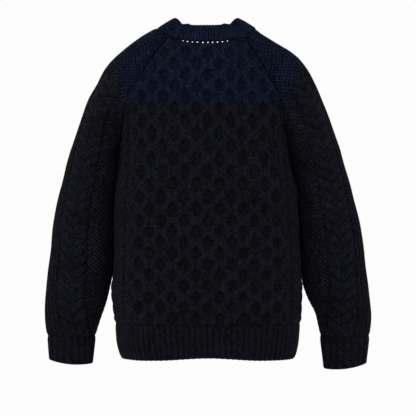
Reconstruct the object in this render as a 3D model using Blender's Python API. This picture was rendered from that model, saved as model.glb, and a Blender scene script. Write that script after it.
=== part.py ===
"""A heavy cable-knit cardigan, filled out as if worn, with open neck, hem and cuffs.

Metres, +Z up. The front faces -Y and the wearer's left is +X. The origin is at the middle of the
neck opening, level with the seam under the collar at the centre back.
"""

import math

import bmesh
import bpy
import numpy as np
from mathutils import Vector
from mathutils.geometry import delaunay_2d_cdt

MM = 0.001

# Cloth and seams.
WALL = 4.0 * MM  # plain cloth, inner face to the foot of the cables
SEAM = 0.3 * MM  # gap between two pieces sewn together
CLEAR = 1.0 * MM  # each of the body's side and the sleeve's inner side keeps this from their meeting line
ROUNDING = 2.4  # exponent of the body's sections: 2 is an ellipse, more is boxier

# Heights.
UNDERARM = -0.246
HEM_SEAM = -0.590
BACK_NECK = -0.002
FRONT_NECK = -0.078

# Neck.
NECK_SHIFT = 0.004
BACK_NECK_HALF = 0.078
BACK_NECK_RISE = 0.013
FRONT_NECK_HALF = 0.088
FRONT_NECK_RISE = 0.072
COLLAR_HEIGHT = 0.038
COLLAR_SEAM = 0.7 * MM  # measured the way the collar leans, which crosses its seam at a slant

# Front closure.
BAND_HALF = 0.016
BAND_LIFT = 3.0 * MM  # the left front rises by this at its band, and the right one sinks by it
BAND_BLEND = 0.045

# Cables and ribs.
CELL = 0.0452  # width of a honeycomb cell with its cord
CORD_SWAY = 0.0057
CORD_HEIGHT = 4.0 * MM
SIDE_CABLE = 0.203  # middle of the body's side cable, from the middle of the panel
SLEEVE_CABLE = 0.080  # middle of the sleeve's cable, from the sleeve's outer line
CABLE_HALF = 0.029
CABLE_PITCH = 0.0236
CABLE_RISE = 0.023
CABLE_HEIGHT = 4.5 * MM
SLEEVE_RIB = 0.0106
SLEEVE_RIBS_EACH_SIDE = 4
RIB_HEIGHT = 2.6 * MM
EDGE_MARGIN = 0.0055  # raised lines stop this far from a panel's edge

HEM_RIBS = 42
CUFF_RIBS = 17
COLLAR_RIB = 0.0062
BAND_RIBS = 3

BUTTON_RADIUS = 0.0105
BUTTON_HEIGHTS = (-0.094, -0.196, -0.298, -0.400, -0.502, -0.604)

# The body's sections: height, then the seam's or side's distance from the middle on the left and
# the right, its depth at the back and the front, and the depth at the centre back and front. Below
# the underarm the seam depth is 0, as the side of the body is its widest place.
BODY = np.array([
    # height, left, right, back seam, front seam, back, front
    (30, 66, 59, 26, 30, 46, 46),
    (11, 82, 74, 36, 44, 58, 56),
    (-6, 90, 82, 45, 50, 67, 66),
    (-19, 101, 89, 53, 56, 76, 72),
    (-44, 118, 105, 65, 66, 90, 82),
    (-82, 143, 127, 77, 74, 106, 94),
    (-130, 169, 150, 78, 76, 119, 112),
    (-155, 173, 154, 71, 69, 123, 118),
    (-180, 177, 158, 58, 58, 126, 122),
    (-208, 180, 162, 43, 43, 129, 126),
    (-228, 182, 165, 29, 29, 130, 127),
    (-240, 183.5, 167, 15, 15, 131, 128),
    (-246, 184, 168, 0, 0, 131, 128),
    (-281, 187, 176, 0, 0, 132, 128),
    (-313, 193, 184, 0, 0, 132, 128),
    (-355, 195, 186, 0, 0, 131, 127),
    (-418, 194, 190, 0, 0, 130, 126),
    (-481, 197, 193, 0, 0, 131, 126),
    (-523, 202, 196, 0, 0, 131, 126),
    (-556, 198, 195, 0, 0, 128, 123),
    (-590, 193, 192, 0, 0, 124, 118),
    (-607, 192, 190.5, 0, 0, 122, 116),
    (-640, 188, 187, 0, 0, 119, 113),
    (-656, 183, 183, 0, 0, 116, 110),
    (-672, 174, 174, 0, 0, 111, 106),
], float) * MM
HEIGHT, LEFT, RIGHT, BACK_SEAM, FRONT_SEAM, BACK, FRONT = range(7)

# Honeycomb rows, counted up the body: height and row number at a cell's middle.
CELL_ROWS = np.array([(-0.680, 13.9), (-0.532, 10.5), (-0.355, 6.5), (-0.149, 2.5), (0.030, -1.4)])

# The sleeve's outer line and the line nearest the body, in the front view: out from the middle and up.
OUTER = {
    "left": np.array([
        (106, 25), (126, 18), (153, 1), (185, -24), (202, -41), (220, -66), (232, -91),
        (251, -129), (268, -179), (285, -229), (299, -280), (313, -331), (323, -381),
        (331, -456), (339, -519), (341, -594), (337, -620),
    ], float) * MM,
    "right": np.array([
        (98, 25), (108, 18), (136, 1), (174, -24), (193, -41), (211, -66), (223, -91),
        (238, -129), (257, -179), (275, -229), (290, -280), (304, -331), (317, -381),
        (328, -456), (336, -519), (342, -594), (339, -620),
    ], float) * MM,
}
INNER = {
    "left": np.array([
        (185, -246), (188, -281), (194, -313), (196, -355), (195, -418), (199, -481),
        (207, -518), (213, -544), (224, -575), (232, -600), (239, -620),
    ], float) * MM,
    "right": np.array([
        (169, -246), (177, -281), (185, -313), (187, -355), (191, -418), (196, -481),
        (202, -518), (212, -544), (227, -575), (233, -600), (238, -620),
    ], float) * MM,
}
OUTER_AT_UNDERARM = {"left": 9, "right": 9}  # row of OUTER across the arm from the underarm
NECK_SIDE_DEPTH = -0.012

# Half the sleeve's depth, front to back: share of the way down, 1 at the underarm and 2 at the cuff.
SLEEVE_DEPTH = np.array([
    (0.0, 0.047), (0.3, 0.062), (0.6, 0.078), (1.0, 0.070), (1.3, 0.062),
    (1.6, 0.055), (1.8, 0.046), (1.93, 0.034), (2.0, 0.029),
])
CUFF_FORWARD = -0.022  # the sleeve's middle at the cuff, from the body's middle

# The cuffs' lower ends: out and up at the outer and the inner corner, and the droop between them.
CUFF_END = {
    "left": np.array([(333, -672), (245, -673)], float) * MM,
    "right": np.array([(332, -682), (246, -681)], float) * MM,
}
CUFF_DROOP = 0.011
CUFF_END_DEPTH = 0.0175

# Seam stations down the raglan, closer together where the armhole turns under.
RAGLAN_STATIONS = np.concatenate([np.linspace(0, 0.80, 15), np.linspace(0.80, 1, 8)[1:]])

COLOURS = {
    "black_wool": (0.010, 0.010, 0.013, 1),
    "navy_wool": (0.008, 0.010, 0.024, 1),
    "button_horn": (0.020, 0.016, 0.014, 1),
}


def clear_scene():
    for obj in list(bpy.data.objects):
        bpy.data.objects.remove(obj)


def material(name, roughness):
    made = bpy.data.materials.new(name)
    made.use_nodes = True
    shader = made.node_tree.nodes["Principled BSDF"]
    shader.inputs["Base Color"].default_value = COLOURS[name]
    shader.inputs["Roughness"].default_value = roughness
    shader.inputs["Metallic"].default_value = 0.0
    made.diffuse_color = COLOURS[name]
    return made


def unit(vectors):
    return vectors / np.maximum(np.linalg.norm(vectors, axis=-1, keepdims=True), 1e-12)


def smooth_table(table, key):
    """A curve through a table's rows with rounded turns: Catmull-Rom on uneven steps of the first column."""
    keys = table[:, 0]
    slopes = np.gradient(table, keys, axis=0)
    i = np.clip(np.searchsorted(keys, key) - 1, 0, len(keys) - 2)
    step = (keys[i + 1] - keys[i])[..., None]
    t = np.clip((key - keys[i]) / (keys[i + 1] - keys[i]), 0, 1)[..., None]
    return (
        (2 * t**3 - 3 * t**2 + 1) * table[i]
        + (t**3 - 2 * t**2 + t) * step * slopes[i]
        + (3 * t**2 - 2 * t**3) * table[i + 1]
        + (t**3 - t**2) * step * slopes[i + 1]
    )


def lengths_along(points):
    steps = np.linalg.norm(np.diff(points, axis=0), axis=1)
    return np.concatenate([[0], np.cumsum(steps)])


def along_line(points, shares):
    """Points at shares of a line's length, rounded between its own points."""
    done = lengths_along(points)
    table = np.column_stack([done / done[-1], points])
    return smooth_table(table, np.asarray(shares, float))[:, 1:]


def smoothstep(t):
    t = np.clip(t, 0, 1)
    return t * t * (3 - 2 * t)


class Skin:
    """The cloth's outer face without its cables, as rows of points across it at rising levels."""

    def __init__(self, levels, rows, middle, facing):
        self.levels, self.rows, self.facing = np.asarray(levels), np.asarray(rows), facing
        steps = np.linalg.norm(np.diff(self.rows, axis=1), axis=2)
        done = np.concatenate([np.zeros((len(rows), 1)), np.cumsum(steps, axis=1)], axis=1)
        self.across = done - done[:, middle : middle + 1]

    def between(self, level):
        i = int(np.clip(np.searchsorted(self.levels, level) - 1, 0, len(self.levels) - 2))
        return i, (level - self.levels[i]) / (self.levels[i + 1] - self.levels[i])

    def ends(self, level):
        i, t = self.between(level)
        ends = self.across[:, [0, -1]]
        return ends[i] * (1 - t) + ends[i + 1] * t

    def across_at(self, x, level):
        i, t = self.between(level)
        near, far = (np.interp(x, self.rows[j][:, 0], self.across[j]) for j in (i, i + 1))
        return near * (1 - t) + far * t

    def at(self, places):
        """Points for (across, level) pairs."""
        found = np.zeros((len(places), 3))
        for n, (across, level) in enumerate(places):
            i, t = self.between(level)
            for j, share in ((i, 1 - t), (i + 1, t)):
                for axis in range(3):
                    found[n, axis] += share * np.interp(across, self.across[j], self.rows[j][:, axis])
        return found

    def normals(self, places):
        step = 1.5 * MM
        sideways = self.at(places + [step, 0]) - self.at(places - [step, 0])
        upward = self.at(places + [0, step]) - self.at(places - [0, step])
        return self.facing * unit(np.cross(sideways, upward))


# The body.


def body_section(height, side, seam, depth, count=61):
    """A quarter of the body's section, from the middle to the side: x and depth."""
    row = smooth_table(BODY[::-1], np.array([height]))[0]
    reach = row[side] - CLEAR * smoothstep((UNDERARM - height) / 0.02)
    inward = min(abs(row[seam]) / row[depth], 0.98)
    widest = reach / (1 - inward**ROUNDING) ** (1 / ROUNDING)
    turn = np.linspace(0, math.pi / 2, count)
    power = 2 / ROUNDING
    return np.column_stack([widest * np.sin(turn) ** power, row[depth] * np.cos(turn).clip(0) ** power])


def body_row(height, front):
    seam, depth, sign = (FRONT_SEAM, FRONT, -1) if front else (BACK_SEAM, BACK, 1)
    left = body_section(height, LEFT, seam, depth)
    right = body_section(height, RIGHT, seam, depth)
    flat = np.concatenate([right[:0:-1] * [-1, 1], left])
    return np.column_stack([flat[:, 0], sign * flat[:, 1], np.full(len(flat), height)])


def body_skin(front):
    levels = np.linspace(-0.672, 0.030, 236)
    rows = np.array([body_row(level, front) for level in levels])
    return Skin(levels, rows, 60, 1 if front else -1)


def near_band(skin, lift):
    """The front's skin, raised by lift towards the button band."""
    places = np.abs(skin.rows[:, :, 0])
    rows = skin.rows.copy()
    rows[:, :, 1] -= lift * (1 - smoothstep((places - BAND_HALF) / BAND_BLEND))
    return Skin(skin.levels, rows, 60, skin.facing)


def neck_height(x, front):
    low, half, rise = (
        (FRONT_NECK, FRONT_NECK_HALF, FRONT_NECK_RISE)
        if front
        else (BACK_NECK, BACK_NECK_HALF, BACK_NECK_RISE)
    )
    return low + rise * (np.abs(x - NECK_SHIFT) / half) ** 2.2


def seam_side(height, sign):
    """How far out the raglan seam lies at a height."""
    row = smooth_table(BODY[::-1], np.array([height]))[0]
    return sign * row[LEFT if sign > 0 else RIGHT]


def raglan(skin, sign, front):
    """The raglan seam on one side, from the neck to the underarm: places on the skin and points."""
    top = 0.0
    for _ in range(60):
        top += 0.5 * (neck_height(seam_side(top, sign), front) - top)
    heights = UNDERARM + (top - UNDERARM) * (1 - np.linspace(0, 1, 90) ** 0.5)[::-1] ** 2
    heights = np.sort(heights)[::-1]
    places = np.array([(skin.across_at(seam_side(h, sign), h), h) for h in heights])
    done = lengths_along(skin.at(places))
    pick = RAGLAN_STATIONS * done[-1]
    places = np.column_stack([np.interp(pick, done, places[:, k]) for k in (0, 1)])
    return places, skin.at(places)


# The sleeves.


def ring(outer, back, front, depth, count=61):
    """Half-turns from the outer line to the back and the front seam, as one row from front to back."""
    middle = (back + front) / 2
    out = unit(outer - middle)
    spread = back - front
    chord = np.linalg.norm(spread - out * (spread @ out)) / 2
    side = np.array([0.0, 1.0, 0.0]) if chord < 1e-6 else spread
    side = unit(side - out * (side @ out))
    depth = max(depth, chord * 1.02)
    reach = np.linalg.norm(outer - middle) / (1 + math.sqrt(1 - (chord / depth) ** 2))
    last = math.pi - math.asin(chord / depth)
    turn = np.linspace(0, last, count)
    halves = []
    for sign, end in ((-1, front), (1, back)):
        line = (
            outer
            - reach * out
            + np.outer(reach * np.cos(turn), out)
            + np.outer(sign * depth * np.sin(turn), side)
        )
        halves.append(line + np.outer((turn / last) ** 2, end - line[-1]))
    return np.concatenate([halves[0][:0:-1], halves[1]])


def sleeve_skin(name, back_seam, front_seam):
    """The sleeve's rings, from the neck (level 0) to the cuff, and the level of the underarm."""
    sign = 1 if name == "left" else -1
    outer, inner = OUTER[name], INNER[name]
    split = OUTER_AT_UNDERARM[name]
    upper, lower = np.linspace(0, 1, 41), np.linspace(0, 1, 56)[1:]
    outer_line = np.concatenate([along_line(outer[: split + 1], upper), along_line(outer[split:], lower)])
    inner_line = along_line(inner, lower)
    shares = np.concatenate([upper, 1 + lower])
    depths = smooth_table(SLEEVE_DEPTH, shares)[:, 1]
    middles = np.interp(shares, (0, 1, 2), (NECK_SIDE_DEPTH, -0.002, CUFF_FORWARD))
    rows = []
    for n, share in enumerate(shares):
        out = np.array([sign * outer_line[n, 0], middles[n], outer_line[n, 1]])
        if share <= 1:
            back, front = (
                np.array([np.interp(share, RAGLAN_STATIONS, seam[:, k]) for k in range(3)])
                for seam in (back_seam, front_seam)
            )
        else:
            x, z = inner_line[n - len(upper)]
            back = front = np.array([sign * x, middles[n] * smoothstep((share - 1) / 0.3), z])
        rows.append(ring(out, back, front, depths[n]))
    rows = np.array(rows)
    levels = lengths_along(rows[:, 60])
    return Skin(levels, rows, 60, -sign), levels[len(upper) - 1], rows


# Raised stitches: lines of points on a flat panel, and the height of the cloth over each place.


def cell_row(height):
    return np.interp(height, CELL_ROWS[:, 0], CELL_ROWS[:, 1])


def height_of_row(row):
    return np.interp(row, CELL_ROWS[::-1, 1], CELL_ROWS[::-1, 0])


def spread_scale(level):
    """Stitches lie a little closer in the lower body than over the shoulders."""
    return np.interp(level, (-0.60, -0.40, -0.15), (0.94, 0.94, 1.0))


def cord_place(number, row):
    """Where a honeycomb cord lies across the panel: it sways away from each cell's middle."""
    even = np.where(number % 2 == 0, 1, -1)
    return (number + 0.5) * CELL / 2 + even * CORD_SWAY * np.cos(2 * math.pi * row)


def honeycomb_lines():
    """Cord ridges, and the four sides of each cell's floor."""
    lines = []
    rows = np.arange(-1.5, 13.5, 0.25)
    for number in range(-7, 7):
        places = [(cord_place(number, r), height_of_row(r)) for r in rows]
        lines.append((np.array(places), CORD_HEIGHT))
    for column in range(-6, 7):
        for row in np.arange(-1, 13) + (0.5 if column % 2 else 0):
            middle = column * CELL / 2
            floor = [(middle + dx, height_of_row(row + dr)) for dx, dr in
                     ((-0.009, 0), (0, -0.28), (0.009, 0), (0, 0.28), (-0.009, 0))]
            lines.append((np.array(floor), 0.0))
    return lines


def cable_lines(middle, low, high):
    """A plait of V strokes pointing down the panel, ridge and hollow in turn."""
    lines = []
    for n in range(int((high - low) / CABLE_PITCH) + 1):
        for shift, height in ((0, CABLE_HEIGHT), (0.5, 0.0)):
            point = low + (n + shift) * CABLE_PITCH
            stroke = [(middle - CABLE_HALF, point + CABLE_RISE), (middle, point),
                      (middle + CABLE_HALF, point + CABLE_RISE)]
            lines.append((np.array(stroke), height))
    return lines


def rib_lines(pitch, each_side, low, high, step):
    lines = []
    count = max(2, round((high - low) / step))
    for n in range(-2 * each_side - 1, 2 * each_side + 2):
        levels = np.linspace(low, high, count)
        places = np.column_stack([np.full(count, n * pitch / 2), levels])
        lines.append((places, 0.0 if n % 2 else RIB_HEIGHT))
    return lines


def inside(points, outline):
    """Which points lie in a closed outline, and how far each is from its edge."""
    a, b = outline, np.roll(outline, -1, axis=0)
    ab = b - a
    ap = points[:, None] - a[None]
    t = np.clip((ap * ab).sum(2) / (ab * ab).sum(1), 0, 1)
    away = np.linalg.norm(ap - t[..., None] * ab, axis=2).min(1)
    above = (a[None, :, 1] > points[:, None, 1]) != (b[None, :, 1] > points[:, None, 1])
    rise = np.where(ab[:, 1] == 0, 1e-12, ab[:, 1])
    crossing = a[:, 0] + (points[:, None, 1] - a[:, 1]) * ab[:, 0] / rise
    return (above & (points[:, None, 0] < crossing)).sum(1) % 2 == 1, away


def triangulate(outline, lines):
    """Triangles over a flat outline that keep the given lines: places, heights, triangles."""
    places, heights, edges = [tuple(p) for p in outline], [0.0] * len(outline), []
    edges += [(i, (i + 1) % len(outline)) for i in range(len(outline))]
    for line, height in lines:
        within, away = inside(line, outline)
        keep = within & (away > EDGE_MARGIN)
        last = None
        for place, kept in zip(line, keep):
            if kept:
                places.append(tuple(place))
                heights.append(height)
                if last is not None:
                    edges.append((last, len(places) - 1))
            last = len(places) - 1 if kept else None
    found, _, faces, origins, _, _ = delaunay_2d_cdt([Vector(p) for p in places], edges, [], 0, 1e-6, True)
    found = np.array([tuple(p) for p in found])
    faces = np.array([tuple(f) for f in faces])
    within, _ = inside(found[faces].mean(1), outline)
    known = np.array([heights[o[0]] if o else 0.5 * CORD_HEIGHT for o in origins])
    order = {o: n for n, origin in enumerate(origins) for o in origin}
    edge = [order[i] for i in range(len(outline))]
    return found, known, faces[within], edge


def coarse_lines(outline, across, along):
    """Single points that carry the inner face's curve."""
    low, high = outline.min(0), outline.max(0)
    columns = np.arange(low[0] + across / 2, high[0], across)
    rows = np.arange(low[1] + along / 2, high[1], along)
    return [(np.array([(u, v)]), 0.0) for u in columns for v in rows]


def inset(outline, gaps):
    """The outline with each edge marked in gaps moved in by half a seam."""
    moved = outline.copy()
    area = np.cross(outline, np.roll(outline, -1, axis=0)).sum()
    for i in range(len(outline)):
        push = np.zeros(2)
        for a, b, marked in ((i - 1, i, gaps[i - 1]), (i, (i + 1) % len(outline), gaps[i])):
            if marked:
                edge = unit(outline[b] - outline[a])
                inward = np.array([-edge[1], edge[0]]) * np.sign(area)
                if push.any():
                    push = (push + inward) / max(1 + push @ inward, 0.5)
                else:
                    push = inward
        moved[i] += push * SEAM / 2
    return moved


def make_object(name, points, faces, slot):
    mesh = bpy.data.meshes.new(name)
    mesh.from_pydata([tuple(p) for p in points], [], [tuple(int(i) for i in f) for f in faces])
    work = bmesh.new()
    work.from_mesh(mesh)
    bmesh.ops.recalc_face_normals(work, faces=work.faces)
    work.to_mesh(mesh)
    work.free()
    mesh.materials.append(slot)
    made = bpy.data.objects.new(name, mesh)
    bpy.context.scene.collection.objects.link(made)
    return made


def panel(name, skin, outline, gaps, directions, shifts, lines, slot, inner_step, joined=()):
    """A wall over a flat outline: raised outer face, plain inner face, and its edges.

    directions gives the wall's direction at those outline corners where it isn't the skin's own,
    and shifts how far a corner moves off its seam. gaps marks the edges that move in by half a seam.
    joined lists pairs of corners that are one place, as along a sleeve's underarm seam.
    """
    flat = inset(outline, gaps)
    outer_places, raised, outer_faces, outer_edge = triangulate(flat, lines)
    inner_places, _, inner_faces, inner_edge = triangulate(flat, coarse_lines(flat, *inner_step))
    outer_normals, inner_normals = skin.normals(outer_places), skin.normals(inner_places)
    outer_points = skin.at(outer_places)
    inner_points = skin.at(inner_places)
    for corner, direction in directions.items():
        inner_normals[inner_edge[corner]] = direction
    outer_points = outer_points + outer_normals * raised[:, None]
    inner_points = inner_points - inner_normals * WALL
    for corner, shift in shifts.items():
        outer_points[outer_edge[corner]] += shift
        inner_points[inner_edge[corner]] += shift
    for kept, dropped in joined:
        outer_points[outer_edge[dropped]] = outer_points[outer_edge[kept]]
        inner_points[inner_edge[dropped]] = inner_points[inner_edge[kept]]
    shift = len(outer_points)
    faces = [tuple(f) for f in outer_faces] + [tuple(f[::-1] + shift) for f in inner_faces]
    same = {outer_edge[d]: outer_edge[k] for k, d in joined}
    same |= {inner_edge[d] + shift: inner_edge[k] + shift for k, d in joined}
    seam_corners = {c for pair in joined for c in pair}
    for i in range(len(flat)):
        j = (i + 1) % len(flat)
        if i in seam_corners and j in seam_corners:
            continue
        a, b = outer_edge[i], outer_edge[j]
        c, d = inner_edge[j] + shift, inner_edge[i] + shift
        faces += [(a, b, c), (a, c, d)]
    faces = [tuple(same.get(i, i) for i in f) for f in faces]
    points = np.concatenate([outer_points, inner_points])
    used = sorted({i for f in faces for i in f})
    number = {old: new for new, old in enumerate(used)}
    return make_object(name, points[used], [[number[i] for i in f] for f in faces], slot)


def strip(name, base, outward, raised, slot, closed=False, curved=False):
    """A ribbed wall over a grid of base points: rows along it, columns across each row.

    A curved strip's inner face follows every row, and a plain one runs from its first row to its last.
    """
    rows, columns = base.shape[:2]
    picked = list(range(rows)) if curved else [0, rows - 1]
    outer = base + outward * raised[..., None]
    inner = base[picked] - outward[picked] * WALL
    points = np.concatenate([outer.reshape(-1, 3), inner.reshape(-1, 3)])
    shift = rows * columns
    faces = []
    for i in range(columns if closed else columns - 1):
        j = (i + 1) % columns
        for start, count, turn in ((0, rows, 1), (shift, len(picked), -1)):
            for row in range(count - 1):
                low, high = start + row * columns, start + (row + 1) * columns
                faces.append((low + i, low + j, high + j, high + i)[::turn])
        top, inner_top = (rows - 1) * columns, shift + (len(picked) - 1) * columns
        faces.append((i, shift + i, shift + j, j))
        faces.append((top + i, top + j, inner_top + j, inner_top + i))
    for i in () if closed else (0, columns - 1):
        if curved:
            for row in range(rows - 1):
                low, high = row * columns + i, (row + 1) * columns + i
                faces.append((low, high, shift + high, shift + low))
        else:
            outer_edge = [row * columns + i for row in range(rows)]
            faces.append(outer_edge + [shift + columns + i, shift + i])
    return make_object(name, points, faces, slot)


def neck_direction(point):
    """The cloth's outward direction where the collar is sewn on."""
    x, y = (point[0] - NECK_SHIFT) / 0.102, (point[1] + 0.012) / 0.078
    x, y = np.array([x, y]) / max(math.hypot(x, y), 1e-9)
    spread = smoothstep((abs(x) - 0.2) / 0.3)
    return unit(np.array([0.50 * x * spread, 0.87 * y, 0.50 + 0.38 * x * x]))


def collar_rise(point):
    """The way the collar stands up and leans in from its seam."""
    x, y = (point[0] - NECK_SHIFT) / 0.102, (point[1] + 0.012) / 0.078
    x, y = np.array([x, y]) / max(math.hypot(x, y), 1e-9)
    lean = smoothstep((abs(x) - 0.2) / 0.3)
    return unit(np.array([-0.86 * x * lean, -0.42 * y, 0.93 - 0.40 * x * x]))


def seam_directions(places, body, seam_points, sleeve, levels, sleeve_end):
    """Down a raglan seam: the walls' common direction, and the way from the seam to the body's edge."""
    tangents = unit(np.gradient(seam_points, axis=0))
    step = 3 * MM
    into_body = places - np.column_stack([np.sign(places[:, 0]) * step, np.zeros(len(places))])
    sleeve_across = np.array([sleeve.ends(v)[sleeve_end] for v in levels])
    sleeve_places = np.column_stack([sleeve_across - np.sign(sleeve_across) * step, levels])
    body_way = body.at(into_body) - seam_points
    sleeve_way = sleeve.at(sleeve_places) - seam_points
    ways = [unit(w - tangents * (w * tangents).sum(1, keepdims=True)) for w in (body_way, sleeve_way)]
    faces = [body.normals(into_body), sleeve.normals(sleeve_places)]
    double = np.arctan2((faces[0] * ways[1]).sum(1), (ways[0] * ways[1]).sum(1))
    double = np.where(double < -0.5, double + 2 * math.pi, double)
    half = double[:, None] / 2
    found = unit((faces[0] + faces[1]) * np.sin(half) + (ways[0] + ways[1]) * np.cos(half))
    apart = unit((ways[0] - ways[1]) * np.sin(half) + (faces[1] - faces[0]) * np.cos(half))
    found[-1] = (0, 0, -1)
    apart[-1] = (-np.sign(seam_points[-1, 0]), 0, 0)
    for i in range(4):
        share = smoothstep(i / 4)
        found[i] = unit(neck_direction(seam_points[i]) * (1 - share) + found[i] * share)
    return found, apart * SEAM * 0.65


def underarm_levels(count, low):
    return np.linspace(UNDERARM, low, count)


def build_back(skin, seams, seam_ways, slot):
    left, right = seams["left"], seams["right"]
    sides = underarm_levels(15, HEM_SEAM)[1:]
    bottom = np.linspace(1, -1, 33)[1:-1]
    top_x = np.linspace(right[1][0, 0], left[1][0, 0], 23)[1:-1]
    top = [(skin.across_at(x, neck_height(x, False)), neck_height(x, False)) for x in top_x]
    outline = np.concatenate([
        right[0][::-1],
        top,
        left[0],
        [(skin.ends(z)[1], z) for z in sides],
        [(skin.ends(HEM_SEAM)[0 if s < 0 else 1] * abs(s), HEM_SEAM) for s in bottom],
        [(skin.ends(z)[0], z) for z in sides[::-1]],
    ])
    count = len(RAGLAN_STATIONS)
    first_left = count + len(top)
    ways, shifts = ({count - 1 - i: d for i, d in enumerate(way)} for way in seam_ways["right"])
    ways |= {first_left + i: d for i, d in enumerate(seam_ways["left"][0])}
    shifts |= {first_left + i: d for i, d in enumerate(seam_ways["left"][1])}
    gaps = [True] * len(outline)
    for i in range(count - 1):
        gaps[i] = gaps[first_left + i] = False
    ways |= {count + i: neck_direction(skin.at(np.array([p]))[0]) for i, p in enumerate(top)}
    scale = lambda line: np.column_stack([line[:, 0] * spread_scale(line[:, 1]), line[:, 1]])
    lines = honeycomb_lines()
    for sign in (-1, 1):
        lines += cable_lines(sign * SIDE_CABLE, HEM_SEAM, -0.14)
    lines = [(scale(line), height) for line, height in lines]
    panel("back", skin, outline, gaps, ways, shifts, lines, slot, (0.042, 0.050))


def build_front(name, skin, seam, seam_way, slot):
    sign = 1 if name == "left" else -1
    end = 1 if sign > 0 else 0
    sides = underarm_levels(15, HEM_SEAM)[1:]
    bottom = np.linspace(1, 0, 17)[1:-1]
    band = sign * BAND_HALF
    neck_x = np.linspace(band, seam[1][0, 0], 20)[:-1]
    neck = [(skin.across_at(x, neck_height(x, True)), neck_height(x, True)) for x in neck_x]
    edge_levels = np.linspace(HEM_SEAM, neck[0][1], 14)[:-1]
    edge = [(skin.across_at(band, z), z) for z in edge_levels]
    hem_end = skin.ends(HEM_SEAM)[end]
    outline = np.concatenate([
        neck,
        seam[0],
        [(skin.ends(z)[end], z) for z in sides],
        [(edge[0][0] + (hem_end - edge[0][0]) * s, HEM_SEAM) for s in bottom],
        edge,
    ])
    ways, shifts = ({len(neck) + i: d for i, d in enumerate(way)} for way in seam_way)
    gaps = [True] * len(outline)
    for i in range(len(RAGLAN_STATIONS) - 1):
        gaps[len(neck) + i] = False
    ways |= {i: neck_direction(skin.at(np.array([p]))[0]) for i, p in enumerate(neck)}
    lines = honeycomb_lines() + cable_lines(sign * SIDE_CABLE, HEM_SEAM, -0.14)
    lines = [(np.column_stack([p[:, 0] * spread_scale(p[:, 1]), p[:, 1]]), h) for p, h in lines]
    panel("front_" + name, skin, outline, gaps, ways, shifts, lines, slot, (0.042, 0.050))


def build_sleeve(name, skin, underarm, back_ways, front_ways, slot):
    length = skin.levels[-1]
    raglan_levels = RAGLAN_STATIONS * underarm
    seam_levels = np.linspace(underarm, length, 13)[1:]
    front = [(skin.ends(v)[0], v) for v in raglan_levels]
    back = [(skin.ends(v)[1], v) for v in raglan_levels]
    front_low = [(skin.ends(v)[0], v) for v in seam_levels]
    back_low = [(skin.ends(v)[1], v) for v in seam_levels]
    cuff = [(u, length) for u in np.linspace(skin.ends(length)[0], skin.ends(length)[1], 25)[1:-1]]
    top = [(u, 0.0) for u in np.linspace(skin.ends(0)[1], skin.ends(0)[0], 19)[1:-1]]
    outline = np.array(front + front_low + cuff + back_low[::-1] + back[::-1] + top)
    count, low = len(front), len(front_low)
    back_first = count + low + len(cuff)
    gaps = [True] * len(outline)
    joined = []
    for i in range(low + 1):
        pair = (count - 1 + i, back_first + low - i)
        joined.append(pair)
    for i in range(count - 1 + low):
        gaps[i] = gaps[back_first + i] = False
    back_top = back_first + low + count - 1
    ways, shifts = ({i: d for i, d in enumerate(way)} for way in front_ways)
    shifts = {i: -d for i, d in shifts.items()}
    ways |= {back_top - i: d for i, d in enumerate(back_ways[0])}
    shifts |= {back_top - i: -d for i, d in enumerate(back_ways[1])}
    first_top = len(outline) - len(top)
    for i, place in enumerate(top):
        ways[first_top + i] = neck_direction(skin.at(np.array([place]))[0])
    lines = rib_lines(SLEEVE_RIB, SLEEVE_RIBS_EACH_SIDE, 0.008, length - 0.006, 0.042)
    flip = lambda line: np.column_stack([line[:, 0], length - line[:, 1]])
    for side in (-1, 1):
        lines += [(flip(p), h) for p, h in cable_lines(side * SLEEVE_CABLE, 0.0, length - 0.10)]
    panel("sleeve_" + name, skin, outline, gaps, ways, shifts, lines, slot, (0.045, 0.055), joined)


def rib_profile(columns):
    """Valley, ridge, valley and so on."""
    return np.where(np.arange(columns) % 2, RIB_HEIGHT, 0.0)


def hem_grid(skin, start, stop, ribs):
    """Base points and outward directions of the hem rib between two places across the body."""
    columns = 2 * ribs + 1
    base, outward = [], []
    for share in (0.0, 0.25, 0.75, 1.0):
        level = HEM_SEAM - SEAM / 2
        places = []
        for t in np.linspace(0, 1, columns):
            x_share = start(level) + (stop(level) - start(level)) * t
            middle = skin.at(np.array([(x_share, level)]))[0][0]
            low = -0.6655 + 0.008 * math.exp(-((middle / 0.09) ** 2))
            z = level + (low - level) * share
            places.append((start(z) + (stop(z) - start(z)) * t, z))
        places = np.array(places)
        base.append(skin.at(places))
        outward.append(skin.normals(places))
    return np.array(base), np.array(outward)


def build_hems(back, fronts, slot):
    half = SEAM / 2
    grids = {
        "hem_back": hem_grid(back, lambda z: back.ends(z)[0] + half, lambda z: back.ends(z)[1] - half, HEM_RIBS),
        "hem_front_left": hem_grid(
            fronts["left"],
            lambda z: fronts["left"].across_at(BAND_HALF, z) + half,
            lambda z: fronts["left"].ends(z)[1] - half,
            HEM_RIBS // 2 - 1,
        ),
        "hem_front_right": hem_grid(
            fronts["right"],
            lambda z: fronts["right"].ends(z)[0] + half,
            lambda z: fronts["right"].across_at(-BAND_HALF, z) - half,
            HEM_RIBS // 2 - 1,
        ),
    }
    for name, (base, outward) in grids.items():
        raised = np.array([rib_profile(base.shape[1])] * len(base))
        raised[0] *= 0.3
        strip(name, base, outward, raised, slot)


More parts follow.
